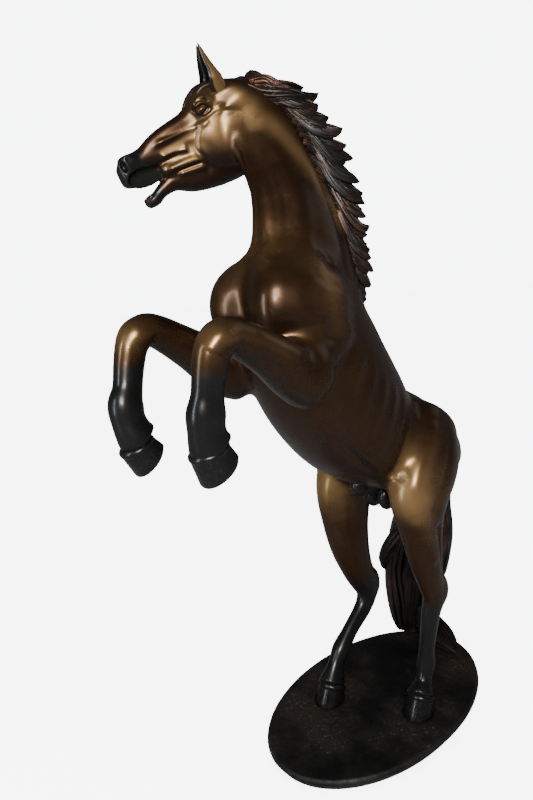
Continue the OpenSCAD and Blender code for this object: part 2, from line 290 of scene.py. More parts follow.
LIPS = [(352, 6, -62), (344, 16, -52), (334, 22, -41), (318, 23, -38), (298, 24, -44), (280, 25, -58),
        (271, 26, -74), (277, 25, -90), (300, 20, -99), (320, 17, -107), (334, 10, -110), (338, 0, -110)]


def head_axes():
    forward = vec(np.cos(HEAD_YAW) * np.cos(HEAD_PITCH), np.sin(HEAD_YAW) * np.cos(HEAD_PITCH),
                  -np.sin(HEAD_PITCH))
    left = vec(-np.sin(HEAD_YAW), np.cos(HEAD_YAW), 0)
    left = np.cos(HEAD_ROLL) * left + np.sin(HEAD_ROLL) * np.cross(forward, left)
    return np.array([forward, left, np.cross(forward, left)])


HEAD = head_axes()


def to_head(P):
    return (P - POLL) @ HEAD.T


def from_head(q):
    return POLL + np.asarray(q, float) @ HEAD


trunk = Limb(TRUNK, pinch=-0.22, round_end=0.9)
neck = Limb(NECK)
upper_arm = Limb(UPPER_ARM)
left_fore = Limb(LEFT_FORE)
right_fore = Limb(RIGHT_FORE)
cheek = Limb(CHEEK)
left_hind = Limb(LEFT_HIND)
right_hind = Limb(RIGHT_HIND)
skull = Limb(SKULL)
jaw = Limb(JAW)
mouth = Limb(MOUTH)
gape = Limb(GAPE)
tongue = Limb(TONGUE)


def mirrored(P, rise=0.0):
    """The right side folded onto the left, from a place that much higher."""
    M = P.copy()
    M[:, 2] -= np.where(P[:, 1] < 0, rise, 0.0)
    M[:, 1] = np.abs(M[:, 1])
    return M


FACE_RELIEF = [  # crest and buccal bands, front and rear edge of the cheek
    (5, 5.5, [(120, 50, -38), (165, 43, -31), (208, 37, -27), (262, 30, -20)]),
    (-4, 4, [(156, 48, -46), (176, 44, -44), (208, 38, -40), (262, 31, -32)]),
    (6, 6.5, [(262, 30, -52), (222, 36, -57), (190, 40, -64)]),
    (-5, 3, [(252, 31, -70), (220, 35, -72), (186, 40, -77)]),
    (5.5, 6, [(262, 29, -80), (212, 34, -89), (176, 38, -98)]),
    (-5, 3, [(248, 28, -94), (214, 32, -99), (178, 36, -106)]),
    (5, 5.5, [(242, 25, -101), (205, 30, -111), (176, 34, -118)]),
    (-5.5, 4.5, [(190, 42, -52), (181, 44, -78), (174, 44, -100), (172, 40, -124), (182, 36, -140)]),
    (-7, 6.5, [(50, 45, -30), (36, 45, -46), (28, 45, -70), (34, 44, -110), (62, 42, -142)]),
    (-3, 6, [(62, 42, -142), (104, 42, -158), (150, 38, -144)]),
]


def face_muscles(m):
    """The face's ridges and grooves and the raised disc of the cheek, over the plain skull."""
    x, z, long, high = CHEEK_DISC
    across = np.hypot((m[:, 0] - x) / long, (m[:, 2] - z) / high)
    return relief(m, FACE_RELIEF) + 5 * smooth_step((1.08 - across) / 0.2) * (m[:, 1] > 20)


def eye_and_nostril(d, m):
    """The brow, the lids round an almond eye, the fat behind it, and the nostril."""
    d -= bump(m, (86, 46, -26), (11, 12, 7), 5)
    d -= ridge(m, [(102, 44, 8), (124, 47, 12), (148, 40, 8)], 6, 5)
    d += bump(m, (123, 50, -9), (18, 12, 8), 6)
    d = blend(d, ellipsoid(m, (122, 40, -11), (14, 11, 8)), 2)
    upper_lid = [(101, 47, -18), (110, 51, -5), (123, 51, 2), (138, 47, -1), (150, 41, -7)]
    d -= ridge(m, upper_lid, 3, 5.5, fade=12)
    d -= ridge(m, [(101, 47, -18), (114, 50, -22), (130, 48, -20), (150, 41, -7)], 2.6, 2.5)
    d += ridge(m, [(100, 47, -6), (112, 50, 7), (125, 50, 10), (144, 44, 6)], 2.4, 3)
    d = blend(d, ellipsoid(m, (326, 15, -24), (22, 13, 18)), 10)
    d -= ridge(m, [(310, 23, -14), (322, 26, -8), (334, 25, -14), (334, 25, -30), (322, 26, -42)], 4, 4)
    return carve(d, ellipsoid(m, (341, 22, -24), (6, 11, 13)), 5)


def head_field(q):
    """Distance to the head, from points in its own axes."""
    m = mirrored(q)
    d = skull(q)
    d = blend(d, ellipsoid(m, (90, 25, -88), (72, 33, 70)), 14)
    d = blend(d, ellipsoid(m, (92, 0, -12), (66, 38, 38)), 20)
    d = blend(d, ellipsoid(m, (112, 36, -6), (26, 15, 19)), 14)
    d = blend(d, ellipsoid(m, (180, 10, -14), (90, 16, 18)), 16)
    d = blend(d, ellipsoid(m, (40, 31, -12), (34, 22, 22)), 26)
    d = blend(d, jaw(q), 10)
    d = blend(d, cheek(q), 8)
    d = blend(d, ellipsoid(m, (338, 0, -58), (22, 23, 20)), 12)
    d = blend(d, ellipsoid(m, (316, 0, -121), (20, 17, 13)), 10)
    d -= face_muscles(m)
    d = eye_and_nostril(d, m)
    d = carve(d, mouth(q), 4)
    d = blend(d, tongue(q), 5)
    d = carve(d, gape(q), 5)
    d -= ridge(m, LIPS, 3.4, 4.2, fade=40)
    return d


CHEST_RELIEF = [  # pectorals, shoulder and the folds round the elbow
    (-6, 16, [(300, 0, 1300), (352, 0, 1240), (392, 0, 1182), (396, 0, 1120)]),
    (-3, 14, [(384, 96, 1120), (366, 120, 1092), (350, 144, 1062), (346, 166, 1030), (342, 176, 985)]),
    (7, 26, [(300, 120, 1200), (326, 124, 1150), (330, 140, 1100)]),
    (-4, 18, [(232, 122, 1190), (258, 138, 1120), (280, 152, 1050)]),
    (5, 24, [(186, 140, 1096), (228, 150, 1042), (276, 160, 1014)]),
    (-6, 9, [(176, 136, 1048), (226, 142, 1004), (280, 152, 968), (330, 158, 926)]),
]


BELLY_LINE = [
    (-6, 8, [(336, 150, 930), (258, 120, 868), (216, 108, 820), (150, 104, 750), (80, 98, 700)]),
]
RIBS = []
for i in range(6):
    x = 205 - 42 * i
    z = 948 - 34 * i
    RIBS.append((2.4, 11, [(x - 62, 112, z + 74), (x - 14, 146, z + 8), (x + 30, 124, z - 66)]))
THIGH_RELIEF = [
    (7, 14, [(-120, 140, 800), (-84, 160, 772), (-22, 170, 722), (8, 168, 684), (16, 164, 640)]),
    (-9, 17, [(-60, 136, 832), (0, 138, 778), (38, 132, 718), (52, 118, 680)]),
    (3, 26, [(-196, 128, 770), (-150, 156, 716), (-96, 174, 640), (-62, 174, 566)]),
    (-5, 9, [(-150, 150, 770), (-92, 182, 690), (-36, 186, 610), (-20, 180, 560)]),
    (-6, 9, [(-262, 100, 742), (-206, 150, 672), (-136, 172, 590), (-96, 172, 520)]),
]


def flank_muscles(m):
    """Ribs, belly line, the muscles of the thigh, the point of the hip and the stifle."""
    h = relief(m, BELLY_LINE + RIBS + THIGH_RELIEF)
    h += bump(m, (-128, 128, 816), (26, 24, 22), 9)
    h += bump(m, (10, 166, 640), (24, 24, 40), 5)
    return h


HIND_LEG_RELIEF = [  # gaskin, hock and tendon of the left leg
    (7, 15, [(8, 162, 590), (0, 176, 540), (-22, 172, 480), (-48, 164, 430)]),
    (-6, 7, [(-50, 182, 560), (-62, 176, 500), (-76, 166, 440), (-84, 160, 400)]),
    (6, 9, [(-98, 150, 500), (-108, 144, 440), (-116, 142, 396), (-122, 142, 372)]),
    (-7, 7, [(-86, 164, 420), (-98, 158, 390), (-108, 154, 366)]),
]
RIGHT_HIND_SHIFT = (14, 40, -50)


def hind_leg_muscles(P):
    """The left hind leg's relief on both legs, moved to where the right leg is."""
    h = np.zeros(len(P))
    for y, shift in ((1, (0, 0, 0)), (-1, RIGHT_HIND_SHIFT)):
        m = P * vec(1, y, 1) - vec(*shift)
        hit = P[:, 1] * y > 0
        h[hit] += relief(m, HIND_LEG_RELIEF)[hit]
    return h


def beside_neck(P):
    """Points with y counted from the neck's own centre line, either side alike."""
    centre = spline([n[:3] for n in NECK], 3)
    axis_y = np.interp(P[:, 2], centre[:, 2], centre[:, 1])
    m = P.copy()
    m[:, 1] = np.abs(P[:, 1] - axis_y)
    return m


NECK_RELIEF = [  # crest band, jugular groove and the muscle ahead of the shoulder
    (6, 17, [(128, 20, 1560), (92, 30, 1460), (76, 44, 1360), (66, 56, 1270), (76, 84, 1190)]),
    (-6, 15, [(160, 42, 1560), (132, 54, 1460), (116, 68, 1350), (118, 86, 1250), (150, 104, 1180)]),
    (6, 18, [(236, 44, 1530), (226, 54, 1440), (232, 66, 1350), (262, 78, 1260), (300, 96, 1200)]),
    (-8, 9, [(268, 26, 1520), (270, 34, 1440), (280, 44, 1360), (306, 50, 1290), (344, 56, 1228)]),
    (5, 12, [(284, 10, 1480), (296, 12, 1400), (312, 16, 1330), (344, 20, 1270)]),
    (-5, 12, [(196, 100, 1240), (244, 112, 1200), (276, 120, 1160)]),
]



KNEE_RELIEF = [  # bones of the knee, the forearm's muscle and the tendon behind it
    (2.5, 10, [(566, 170, 1118), (590, 168, 1104), (604, 160, 1080)]),
    (4, 20, [(380, 168, 1030), (446, 172, 1068), (506, 168, 1098)]),
    (-3, 10, [(400, 172, 990), (456, 168, 1030), (512, 164, 1066)]),
    (-2, 6, [(578, 162, 1040), (580, 158, 1010), (584, 154, 984)]),
]


def body_field(P):
    M = mirrored(P)
    F = mirrored(P, RIGHT_FORE_RISE)
    d = trunk(P)
    d = blend(d, ellipsoid(M, (334, 70, 1142), (75, 59, 88)), 44)
    d = blend(d, ellipsoid(M, (262, 96, 1130), (78, 50, 96)), 40)
    d = blend(d, neck(P), 60)
    leg = blend(upper_arm(M), np.minimum(left_fore(P), right_fore(P)), 26)
    leg = blend(leg, ellipsoid(M, (330, 118, 990), (56, 48, 62)), 24)
    leg = blend(leg, ellipsoid(F, (572, 140, 1098), (28, 34, 28)), 16)
    leg = blend(leg, ellipsoid(P, (572, 124, 903), (20, 29, 25)), 10)
    leg = blend(leg, ellipsoid(P, (578, -124, 890), (20, 29, 25)), 10)
    d = blend(d, leg, 22)
    d = blend(d, left_hind(P), 36)
    d = blend(d, right_hind(P), 36)
    d = blend(d, ellipsoid(P, (-120, 142, 330), (16, 18, 34)), 24)
    d = blend(d, ellipsoid(P, (-121, -92, 275), (15, 17, 34)), 24)
    d -= relief(M, CHEST_RELIEF) + flank_muscles(M)
    d -= hind_leg_muscles(P) + relief(beside_neck(P), NECK_RELIEF) + relief(F, KNEE_RELIEF)
    q = to_head(P)
    near = np.linalg.norm(q - vec(170, 0, -60), axis=1) < 330
    if near.any():
        head = np.full(len(P), FAR)
        head[near] = head_field(q[near])
        d = blend(d, head, 22)
    return d


# ---- Meshing ----

def block_or(M, mask, n):
    """Marks the fine nodes of every marked coarse cell."""
    big = np.repeat(np.repeat(np.repeat(mask, n, 0), n, 1), n, 2)
    a, b, c = big.shape
    for i in (0, 1):
        for j in (0, 1):
            for k in (0, 1):
                M[i:i + a, j:j + b, k:k + c] |= big


def corner_views(A):
    n = A.shape
    for i in (0, 1):
        for j in (0, 1):
            for k in (0, 1):
                yield (i, j, k), A[i:n[0] - 1 + i, j:n[1] - 1 + j, k:n[2] - 1 + k]


def in_chunks(f, P, size=60000):
    return np.concatenate([f(P[s:s + size]) for s in range(0, len(P), size)])


def surface(f, lo, hi, cell, coarse=4):
    """Vertices and quads of f = 0 inside a box, by surface nets on a sparse grid."""
    lo = vec(*lo)
    n = np.ceil((vec(*hi) - lo) / (cell * coarse)).astype(int) + 1
    step = cell * coarse
    axes = [lo[k] + step * np.arange(n[k]) for k in range(3)]
    grid = np.stack(np.meshgrid(*axes, indexing="ij"), -1).reshape(-1, 3)
    C = in_chunks(f, grid).reshape(n)
    low = np.min([v for _, v in corner_views(C)], axis=0)
    high = np.max([v for _, v in corner_views(C)], axis=0)
    near = (low < 1.5 * step) & (high > -1.5 * step)
    N = (n - 1) * coarse + 1
    D = np.repeat(np.repeat(np.repeat(C, coarse, 0), coarse, 1), coarse, 2)[:N[0], :N[1], :N[2]]
    M = np.zeros(N, bool)
    block_or(M, near, coarse)
    D[M] = in_chunks(f, lo + cell * np.argwhere(M))
    inside = D < 0
    same = np.ones(tuple(N - 1), bool)
    first = inside[:-1, :-1, :-1]
    for _, v in corner_views(inside):
        same &= v == first
    cells = np.argwhere(~same)
    ids = np.full(tuple(N - 1), -1, np.int64)
    ids[tuple(cells.T)] = np.arange(len(cells))
    total = np.zeros((len(cells), 3))
    count = np.zeros(len(cells))
    corners = [(i, j, k) for i in (0, 1) for j in (0, 1) for k in (0, 1)]
    edges = [(a, b) for a in corners for b in corners if a < b and sum(np.abs(np.subtract(a, b))) == 1]
    for a, b in edges:
        va = D[tuple((cells + a).T)]
        vb = D[tuple((cells + b).T)]
        cross = (va < 0) != (vb < 0)
        t = np.where(cross, va / np.where(cross, va - vb, 1), 0)
        total += np.where(cross[:, None], np.array(a) + t[:, None] * np.subtract(b, a), 0)
        count += cross
    verts = lo + cell * (cells + total / count[:, None])
    return verts, grid_quads(inside, ids, N)


def grid_quads(inside, ids, N):
    """One quad across each grid edge that the surface crosses, facing out."""
    quads = []
    for axis in range(3):
        across = [k for k in range(3) if k != axis]
        here = [slice(1, N[k] - 1) for k in range(3)]
        here[axis] = slice(0, N[axis] - 1)
        there = list(here)
        there[axis] = slice(1, N[axis])
        a = inside[tuple(here)]
        edge = np.argwhere(a != inside[tuple(there)])
        flip = a[tuple(edge.T)]
        if axis == 1:
            flip = ~flip
        edge[:, across] += 1
        ring = []
        for du, dv in ((0, 0), (1, 0), (1, 1), (0, 1)):
            q = edge.copy()
            q[:, across[0]] -= du
            q[:, across[1]] -= dv
            ring.append(ids[tuple(q.T)])
        ring = np.stack(ring, 1)
        ring[~flip] = ring[~flip][:, ::-1]
        quads.append(ring)
    return np.concatenate(quads)


def settle(f, P, e=0.6):
    """Moves points onto the surface and returns them with their normals."""
    tetra = vec(1, 1, 1, 1, -1, -1, -1, 1, -1, -1, -1, 1).reshape(4, 3)
    samples = np.stack([in_chunks(f, P + e * t) for t in tetra], 1)
    g = samples @ tetra / (4 * e)
    d = samples.mean(1)
    move = np.clip(d / np.maximum((g * g).sum(1), 0.2), -3, 3)
    return P - move[:, None] * g, unit(g)


# ---- Cutting the sculpture into its cast pieces ----

def plane_at(point, normal):
    return np.asarray(point, float), unit(normal)


def head_plane(a, b):
    """The plane through two (forward, up) places of the head, its front to the muzzle."""
    p = from_head([a[0], 0, a[1]])
    along = from_head([b[0], 0, b[1]]) - p
    normal = unit(np.cross(along, HEAD[1]))
    return p, normal * np.sign(normal @ HEAD[0])


PLANES = {
    "loin": plane_at((-48, 0, 768), (0.6, 0, 0.8)),
    "girth": plane_at((114, 0, 917), (0.6, 0, 0.8)),
    "neck_base": plane_at((190, -4, 1262), (-0.05, -0.1, 1)),
    "cheek": head_plane((-20, 30), (60, -200)),
    "throat": (from_head([0, 0, -185]), HEAD[2]),
    "left_elbow": plane_at((440, 130, 1050), (1, 0.1, 0.2)),
    "right_elbow": plane_at((440, -130, 1056), (1, -0.1, 0.2)),
    "left_knee": plane_at((590, 140, 1060), (1, 0, -1)),
    "right_knee": plane_at((588, -140, 1066), (1, 0, -1)),
    "left_coronet": plane_at((599, 122, 902), (0.51, 0, 0.86)),
    "right_coronet": plane_at((608, -122, 886), (0.62, 0, 0.78)),
    "thigh": plane_at((0, 0, 505), (0, 0, 1)),
    "left_hock": plane_at((-80, 135, 262), (0, 0, 1)),
    "right_hock": plane_at((-52, -90, 205), (0.8, 0, -0.6)),
    "left_pastern": plane_at((-28, 132, 46), (-0.35, 0, 0.94)),
    "right_pastern": plane_at((96, -86, 48), (-0.35, 0, 0.94)),
}


def ahead(name, P):
    p, n = PLANES[name]
    return (P - p) @ n > 0


# Each casting's box, the size of its mesh's cells, and its planes: True where it lies ahead of one.
CASTINGS = {
    "hindquarters": dict(lo=(-430, -240, 440), hi=(130, 240, 980), cell=5,
                         cuts={"loin": False, "thigh": True}),
    "barrel": dict(lo=(-170, -240, 560), hi=(340, 240, 1180), cell=5,
                   cuts={"loin": True, "girth": False}),
    "forequarters": dict(lo=(-80, -240, 770), hi=(490, 240, 1340), cell=4.5,
                         cuts={"girth": True, "neck_base": False,
                               "left_elbow": False, "right_elbow": False}),
    "neck": dict(lo=(40, -250, 1200), hi=(440, 130, 1770), cell=4.5,
                 cuts={"neck_base": True, "cheek": False, "throat": False}),
    "head": dict(lo=(140, -360, 1380), hi=(580, 20, 1760), cell=2.4, cuts={"cheek": True, "throat": True}),
    "left_forearm": dict(lo=(360, 50, 930), hi=(660, 230, 1180), cell=3.6,
                         cuts={"left_elbow": True, "left_knee": False}),
    "right_forearm": dict(lo=(360, -230, 920), hi=(660, -50, 1190), cell=3.6,
                          cuts={"right_elbow": True, "right_knee": False}),
    "left_fore_cannon": dict(lo=(520, 60, 850), hi=(680, 210, 1140), cell=3,
                             cuts={"left_knee": True, "left_coronet": True}),
    "right_fore_cannon": dict(lo=(520, -210, 830), hi=(690, -60, 1150), cell=3,
                              cuts={"right_knee": True, "right_coronet": True}),
    "left_gaskin": dict(lo=(-190, 40, 210), hi=(80, 230, 560), cell=3.6,
                        cuts={"thigh": False, "left_hock": True}),
    "right_gaskin": dict(lo=(-230, -230, 150), hi=(60, -40, 560), cell=3.6,
                         cuts={"thigh": False, "right_hock": False}),
    "left_hind_cannon": dict(lo=(-140, 60, 10), hi=(40, 200, 310), cell=3,
                             cuts={"left_hock": False, "left_pastern": True}),
    "right_hind_cannon": dict(lo=(-160, -180, 10), hi=(170, -30, 310), cell=3,
                              cuts={"right_hock": True, "right_pastern": True}),
}


def kept(name, P):
    """Which of the points belong to a casting."""
    side = {plane: ahead(plane, P) == wanted for plane, wanted in CASTINGS[name]["cuts"].items()}
    if name == "neck":
        return side["neck_base"] & (side["cheek"] | side["throat"])
    if name == "forequarters":
        side["left_elbow"] |= P[:, 1] <= 0
        side["right_elbow"] |= P[:, 1] >= 0
    return np.all(list(side.values()), axis=0)


def to_metres(P):
    return (np.asarray(P, float) + vec(0, 0, BASE_TOP)) * MM


def from_metres(P):
    return np.asarray(P, float) / MM - vec(0, 0, BASE_TOP)


def new_object(name, verts, faces):
    """A mesh object from vertices in millimetres above the base's top."""
    me = bpy.data.meshes.new(name)
    faces = [list(map(int, f)) for f in faces] if not isinstance(faces, np.ndarray) else faces.tolist()
    me.from_pydata(to_metres(verts).tolist(), [], faces)
    me.update()
    ob = bpy.data.objects.new(name, me)
    bpy.context.scene.collection.objects.link(ob)
    return ob


def mesh_points(me):
    co = np.empty(len(me.vertices) * 3, np.float32)
    me.vertices.foreach_get("co", co)
    return from_metres(co.reshape(-1, 3))


def cut_mesh(me, name):
    """Cuts at planes, keeps one region and closes it with flat caps, which get material index 1."""
    bm = bmesh.new()
    bm.from_mesh(me)
    for plane in CASTINGS[name]["cuts"]:
        p, n = PLANES[plane]
        bmesh.ops.bisect_plane(bm, geom=bm.verts[:] + bm.edges[:] + bm.faces[:], dist=1e-6,
                               plane_co=to_metres(p).tolist(), plane_no=n.tolist())
    bm.faces.ensure_lookup_table()
    centres = from_metres([f.calc_center_median()[:] for f in bm.faces])
    wanted = kept(name, centres)
    bmesh.ops.delete(bm, geom=[f for f, w in zip(bm.faces[:], wanted) if not w], context="FACES")
    drop_crumbs(bm)
    open_edges = [e for e in bm.edges if e.is_boundary]
    caps = bmesh.ops.holes_fill(bm, edges=open_edges, sides=0)["faces"]
    for f in bm.faces:
        f.smooth = True
    for f in caps:
        f.smooth = False
        f.material_index = 1
    bmesh.ops.triangulate(bm, faces=caps)
    bm.to_mesh(me)
    bm.free()


def drop_crumbs(bm):
    """Keeps only the largest connected part."""
    bm.verts.ensure_lookup_table()
    seen = np.zeros(len(bm.verts), bool)
    best = []
    for v in bm.verts:
        if seen[v.index]:
            continue
        seen[v.index] = True
        part = [v]
        for w in part:
            for e in w.link_edges:
                o = e.other_vert(w)
                if not seen[o.index]:
                    seen[o.index] = True
                    part.append(o)
        if len(part) > len(best):
            best = part
    kept = set(v.index for v in best)
    bmesh.ops.delete(bm, geom=[v for v in bm.verts if v.index not in kept], context="VERTS")


def shade(me, normals):
    """Surface normals from the field, with flat caps."""
    n = len(me.loops)
    where = np.empty(n, np.int32)
    me.loops.foreach_get("vertex_index", where)
    out = normals[where].astype(np.float32)
    index = np.empty(len(me.polygons), np.int32)
    total = np.empty(len(me.polygons), np.int32)
    facing = np.empty(len(me.polygons) * 3, np.float32)
    me.polygons.foreach_get("material_index", index)
    me.polygons.foreach_get("loop_total", total)
    me.polygons.foreach_get("normal", facing)
    flat = np.repeat(index == 1, total)
    out[flat] = np.repeat(facing.reshape(-1, 3), total, 0)[flat]
    me.normals_split_custom_set(out.tolist())


def casting(name, spec):
    """One cast piece of the horse's body, and its share of the patina, the painted highlights and the
    painted shade.
    """
    cell = spec["cell"] * (1.0 if FINE else 1.7)
    verts, quads = surface(body_field, spec["lo"], spec["hi"], cell)
    ob = new_object(name + "_bronze", verts, quads)
    me = ob.data
    cut_mesh(me, name)
    P, normals = settle(body_field, mesh_points(me))
    me.vertices.foreach_set("co", to_metres(P).astype(np.float32).ravel())
    me.update()
    paint(me, P, normals)
    shade(me, normals)
    return ob


# ---- Patina, painted highlights and painted shade: how golden and how black each point of the surface is ----

GOLD_AND_HIGHLIGHT_SPOTS = [  # centre, spread, strength, on both sides of the body; golden patina, partly painted highlights
    ((352, 70, 1160), (50, 60, 70), 0.35), ((250, 130, 1180), (40, 40, 70), 0.45),
    ((20, 155, 650), (34, 40, 60), 0.95), ((-30, 160, 750), (40, 40, 50), 0.4),
    ((584, 145, 1108), (40, 34, 26), 0.8), ((450, 140, 1080), (90, 40, 24), 0.3),
    ((-20, 160, 540), (40, 40, 70), 0.25), ((320, 40, 1290), (40, 60, 60), 0.3),
    ((0, 80, 600), (40, 60, 70), 0.45),
]
CREST_GOLD_AND_HIGHLIGHT = [(262, 46, 1600), (208, 56, 1526), (168, 60, 1465), (132, 58, 1391), (104, 56, 1322)]
FACE_GOLD_AND_HIGHLIGHT = [((110, 50, -80), (50, 30, 50), 0.8), ((205, 36, -40), (50, 20, 14), 0.5),
             ((210, 34, -84), (50, 20, 26), 0.75), ((100, 40, 20), (40, 30, 30), 0.4)]


def spots(P, table):
    out = np.zeros(len(P))
    for centre, spread, strength in table:
        q = (P - vec(*centre)) / vec(*spread)
        out += strength * np.exp(-0.5 * (q * q).sum(1))
    return out


def set_attribute(me, name, values):
    layer = me.attributes.new(name, "FLOAT", "POINT")
    layer.data.foreach_set("value", np.asarray(values, np.float32))


def paint(me, P, normals):
    M = mirrored(P)
    q = to_head(P)
    m = mirrored(q)
    # Golden patina, partly painted highlights: the spots, face patches and crest band sit where light
    # catches the shoulder, stifle, knees, cheek and crest
    gold_and_highlight = 0.02 + spots(M, GOLD_AND_HIGHLIGHT_SPOTS) + spots(m, FACE_GOLD_AND_HIGHLIGHT) * (q[:, 0] > -40)
    gold_and_highlight += 0.7 * np.exp(-0.5 * (to_line(beside_neck(P), spline(CREST_GOLD_AND_HIGHLIGHT, 3))[0] / 24) ** 2)
    # Painted shade: less golden on upward-facing surfaces of the rear half
    gold_and_highlight *= 1 - 0.6 * smooth_step((normals[:, 2] - 0.1) / 0.8) * (P[:, 0] < 150)
    fore_low = smooth_step((1076 - M[:, 2]) / 60) * smooth_step((M[:, 0] - 520) / 40)
    hind_low = smooth_step((400 - M[:, 2]) / 190)
    muzzle = 0.8 * smooth_step((q[:, 0] - 255) / 60) * (P[:, 2] > 1400)
    lips = np.zeros(len(P))
    close = (np.abs(q[:, 0] - 300) < 60) & (P[:, 2] > 1400)
    if close.any():
        lips[close] = np.exp(-0.5 * (to_line(m[close], spline(LIPS, 3))[0] / 6) ** 2)
    inside = ((mouth(q) < 3) & (np.abs(q[:, 1]) < 17) & (q[:, 0] > 262) & (P[:, 2] > 1400)).astype(float)
    # Painted shade: undersides darker and less golden, by which way the surface faces
    under = 0.75 * smooth_step((0.05 - normals[:, 2]) / 0.75)
    set_attribute(me, "gold_and_highlight", np.clip(gold_and_highlight - under, 0, 1))
    # Black: dark patina of the lower legs, muzzle and lips, with the painted underside shade
    black = np.maximum.reduce([fore_low, hind_low, muzzle, lips, 0.7 * under])
    set_attribute(me, "black", np.clip(black, 0, 1))
    set_attribute(me, "rough", inside)


# ---- Hooves ----

HOOVES = {  # sole centre, toe direction, up direction, shift of the coronet toward the heel
    "left_fore_hoof": ((583, 122, 857), (0.8, 0, -0.6), 10),
    "right_fore_hoof": ((585, -122, 840), (0.68, 0, -0.73), 10),
    "left_hind_hoof": ((-8, 133, 0), (1, 0.05, 0), 19),
    "right_hind_hoof": ((112, -86, 0), (1, -0.05, 0), 17),
}


def hoof_outline(theta, long, wide):
    """Points of the hoof's edge: round toe, straighter quarters, two heels with a cleft between."""
    heel = np.exp(-((np.pi - np.abs(theta)) / 0.32) ** 2)
    shape = 1 - 0.2 * heel + 0.05 * np.exp(-((np.pi - np.abs(theta)) - 0.55) ** 2 / 0.05)
    x = long * np.cos(theta) * np.where(np.cos(theta) < 0, 0.9, 1) * shape
    return x, wide * np.sin(theta) * shape


def hoof(name, sole, toe, back):
    """A hoof as rings from the sole's frog up the wall to the coronet and into the pastern."""
    rng = np.random.default_rng(SEED + len(name))
    count = 96
    theta = np.linspace(-np.pi, np.pi, count, endpoint=False)
    toe = unit(vec(*toe))
    side = unit(np.cross(vec(0, 0, 1), toe))
    up = np.cross(toe, side)
    rings = []
    profile = [  # share of the wall's height, swelling of the outline
        (0.0, 0.985), (0.04, 1.0), (0.25, 0.975), (0.5, 0.945), (0.72, 0.92), (0.88, 0.9), (0.93, 0.893),
        (0.96, 0.912), (1.02, 0.925), (1.1, 0.9), (1.16, 0.8), (1.2, 0.6)]
    front = (1 + np.cos(theta)) / 2
    wall = 30 + 26 * front
    grooves = 0.5 * np.sin(23 * theta + rng.random() * 6) + 0.4 * np.sin(41 * theta)
    for depth, size in ((6, 0.12), (5, 0.45), (4, 0.72), (1.5, 0.86), (0, 0.93)):
        x, y = hoof_outline(theta, 46 * size, 42 * size)
        frog = 5 * np.exp(-(y / 9) ** 2) * smooth_step((8 - x) / 20) * (size < 0.9)
        rings.append((x, y, np.full(count, float(depth)) - frog))
    for share, size in profile:
        x, y = hoof_outline(theta, 47 * size, 43 * size)
        z = wall * share
        shift = back * z / 50
        scratch = grooves * 0.35 * (0.05 < share < 0.88)
        rings.append((x * (1 + scratch / 46) - shift, y * (1 + scratch / 42), z))
    verts = []
    for x, y, z in rings:
        verts.append(vec(*sole) + np.outer(x, toe) + np.outer(y, side) + np.outer(z, up))
    verts = np.concatenate(verts + [verts[0].mean(0, keepdims=True), verts[-1].mean(0, keepdims=True)])
    faces = ring_faces(len(rings), count)
    faces += fan(len(verts) - 2, 0, count, False)
    faces += fan(len(verts) - 1, (len(rings) - 1) * count, count, True)
    ob = new_object(name + "_bronze", verts, faces)
    smooth(ob, angle=50)
    return ob


def ring_faces(rings, count, closed=True):
    """Quads between rings of points; the rings run one after another."""
    out = []
    last = count if closed else count - 1
    for r in range(rings - 1):
        for i in range(last):
            j = (i + 1) % count
            out.append((r * count + i, r * count + j, (r + 1) * count + j, (r + 1) * count + i))
    return out


def fan(centre, first, count, outward):
    out = []
    for i in range(count):
        a, b = first + i, first + (i + 1) % count
        out.append((a, b, centre) if outward else (b, a, centre))
    return out


def smooth(ob, angle=60):
    bm = bmesh.new()
    bm.from_mesh(ob.data)
    bmesh.ops.recalc_face_normals(bm, faces=bm.faces)
    for f in bm.faces:
        f.smooth = True
    limit = np.radians(angle)
    for e in bm.edges:
        e.smooth = not (len(e.link_faces) == 2 and e.calc_face_angle(0) > limit)
    bm.to_mesh(ob.data)
    bm.free()


# ---- Hair: tapered locks with grooves between their strands ----

def lock(path, widths, depths, normal, strands, rng, count=28, steps=5):
    """One lock: an oval sweep whose grooves run together toward its tip."""
    line = spline(np.column_stack([path, widths, depths]), steps)
    centre = line[:, :3]
    tangent = unit(np.gradient(centre, axis=0))
    normal = np.asarray(normal, float)
    side = unit(np.cross(tangent, normal))
    out = np.cross(side, tangent)
    theta = np.linspace(0, 2 * np.pi, count, endpoint=False)
    phase = rng.random() * 6
    at = np.linspace(0, 1, len(line))
    verts = []
    for i in range(len(line)):
        u = np.cos(theta)
        wander = 0.35 * np.sin(3.1 * at[i] + phase)
        groove = np.abs(np.sin(0.5 * np.pi * strands * (u + 0.08 * wander) + phase))
        fine = np.abs(np.sin(1.3 * np.pi * strands * u + 2 * phase))
        lift = 0.5 + 0.4 * groove ** 0.7 + 0.1 * fine
        x = line[i, 3] * u
        y = line[i, 4] * np.sin(theta) * lift
        verts.append(centre[i] + np.outer(x, side[i]) + np.outer(y, out[i]))
    verts = np.concatenate(verts + [centre[:1], centre[-1:]])
    rings = len(line)
    faces = ring_faces(rings, count)
    faces += fan(rings * count, 0, count, False)
    faces += fan(rings * count + 1, (rings - 1) * count, count, True)
    return verts, faces


def join(parts):
    verts, faces, start = [], [], 0
    for v, f in parts:
        verts.append(v)
        faces += [tuple(i + start for i in face) for face in f]
        start += len(v)
    return np.concatenate(verts), faces


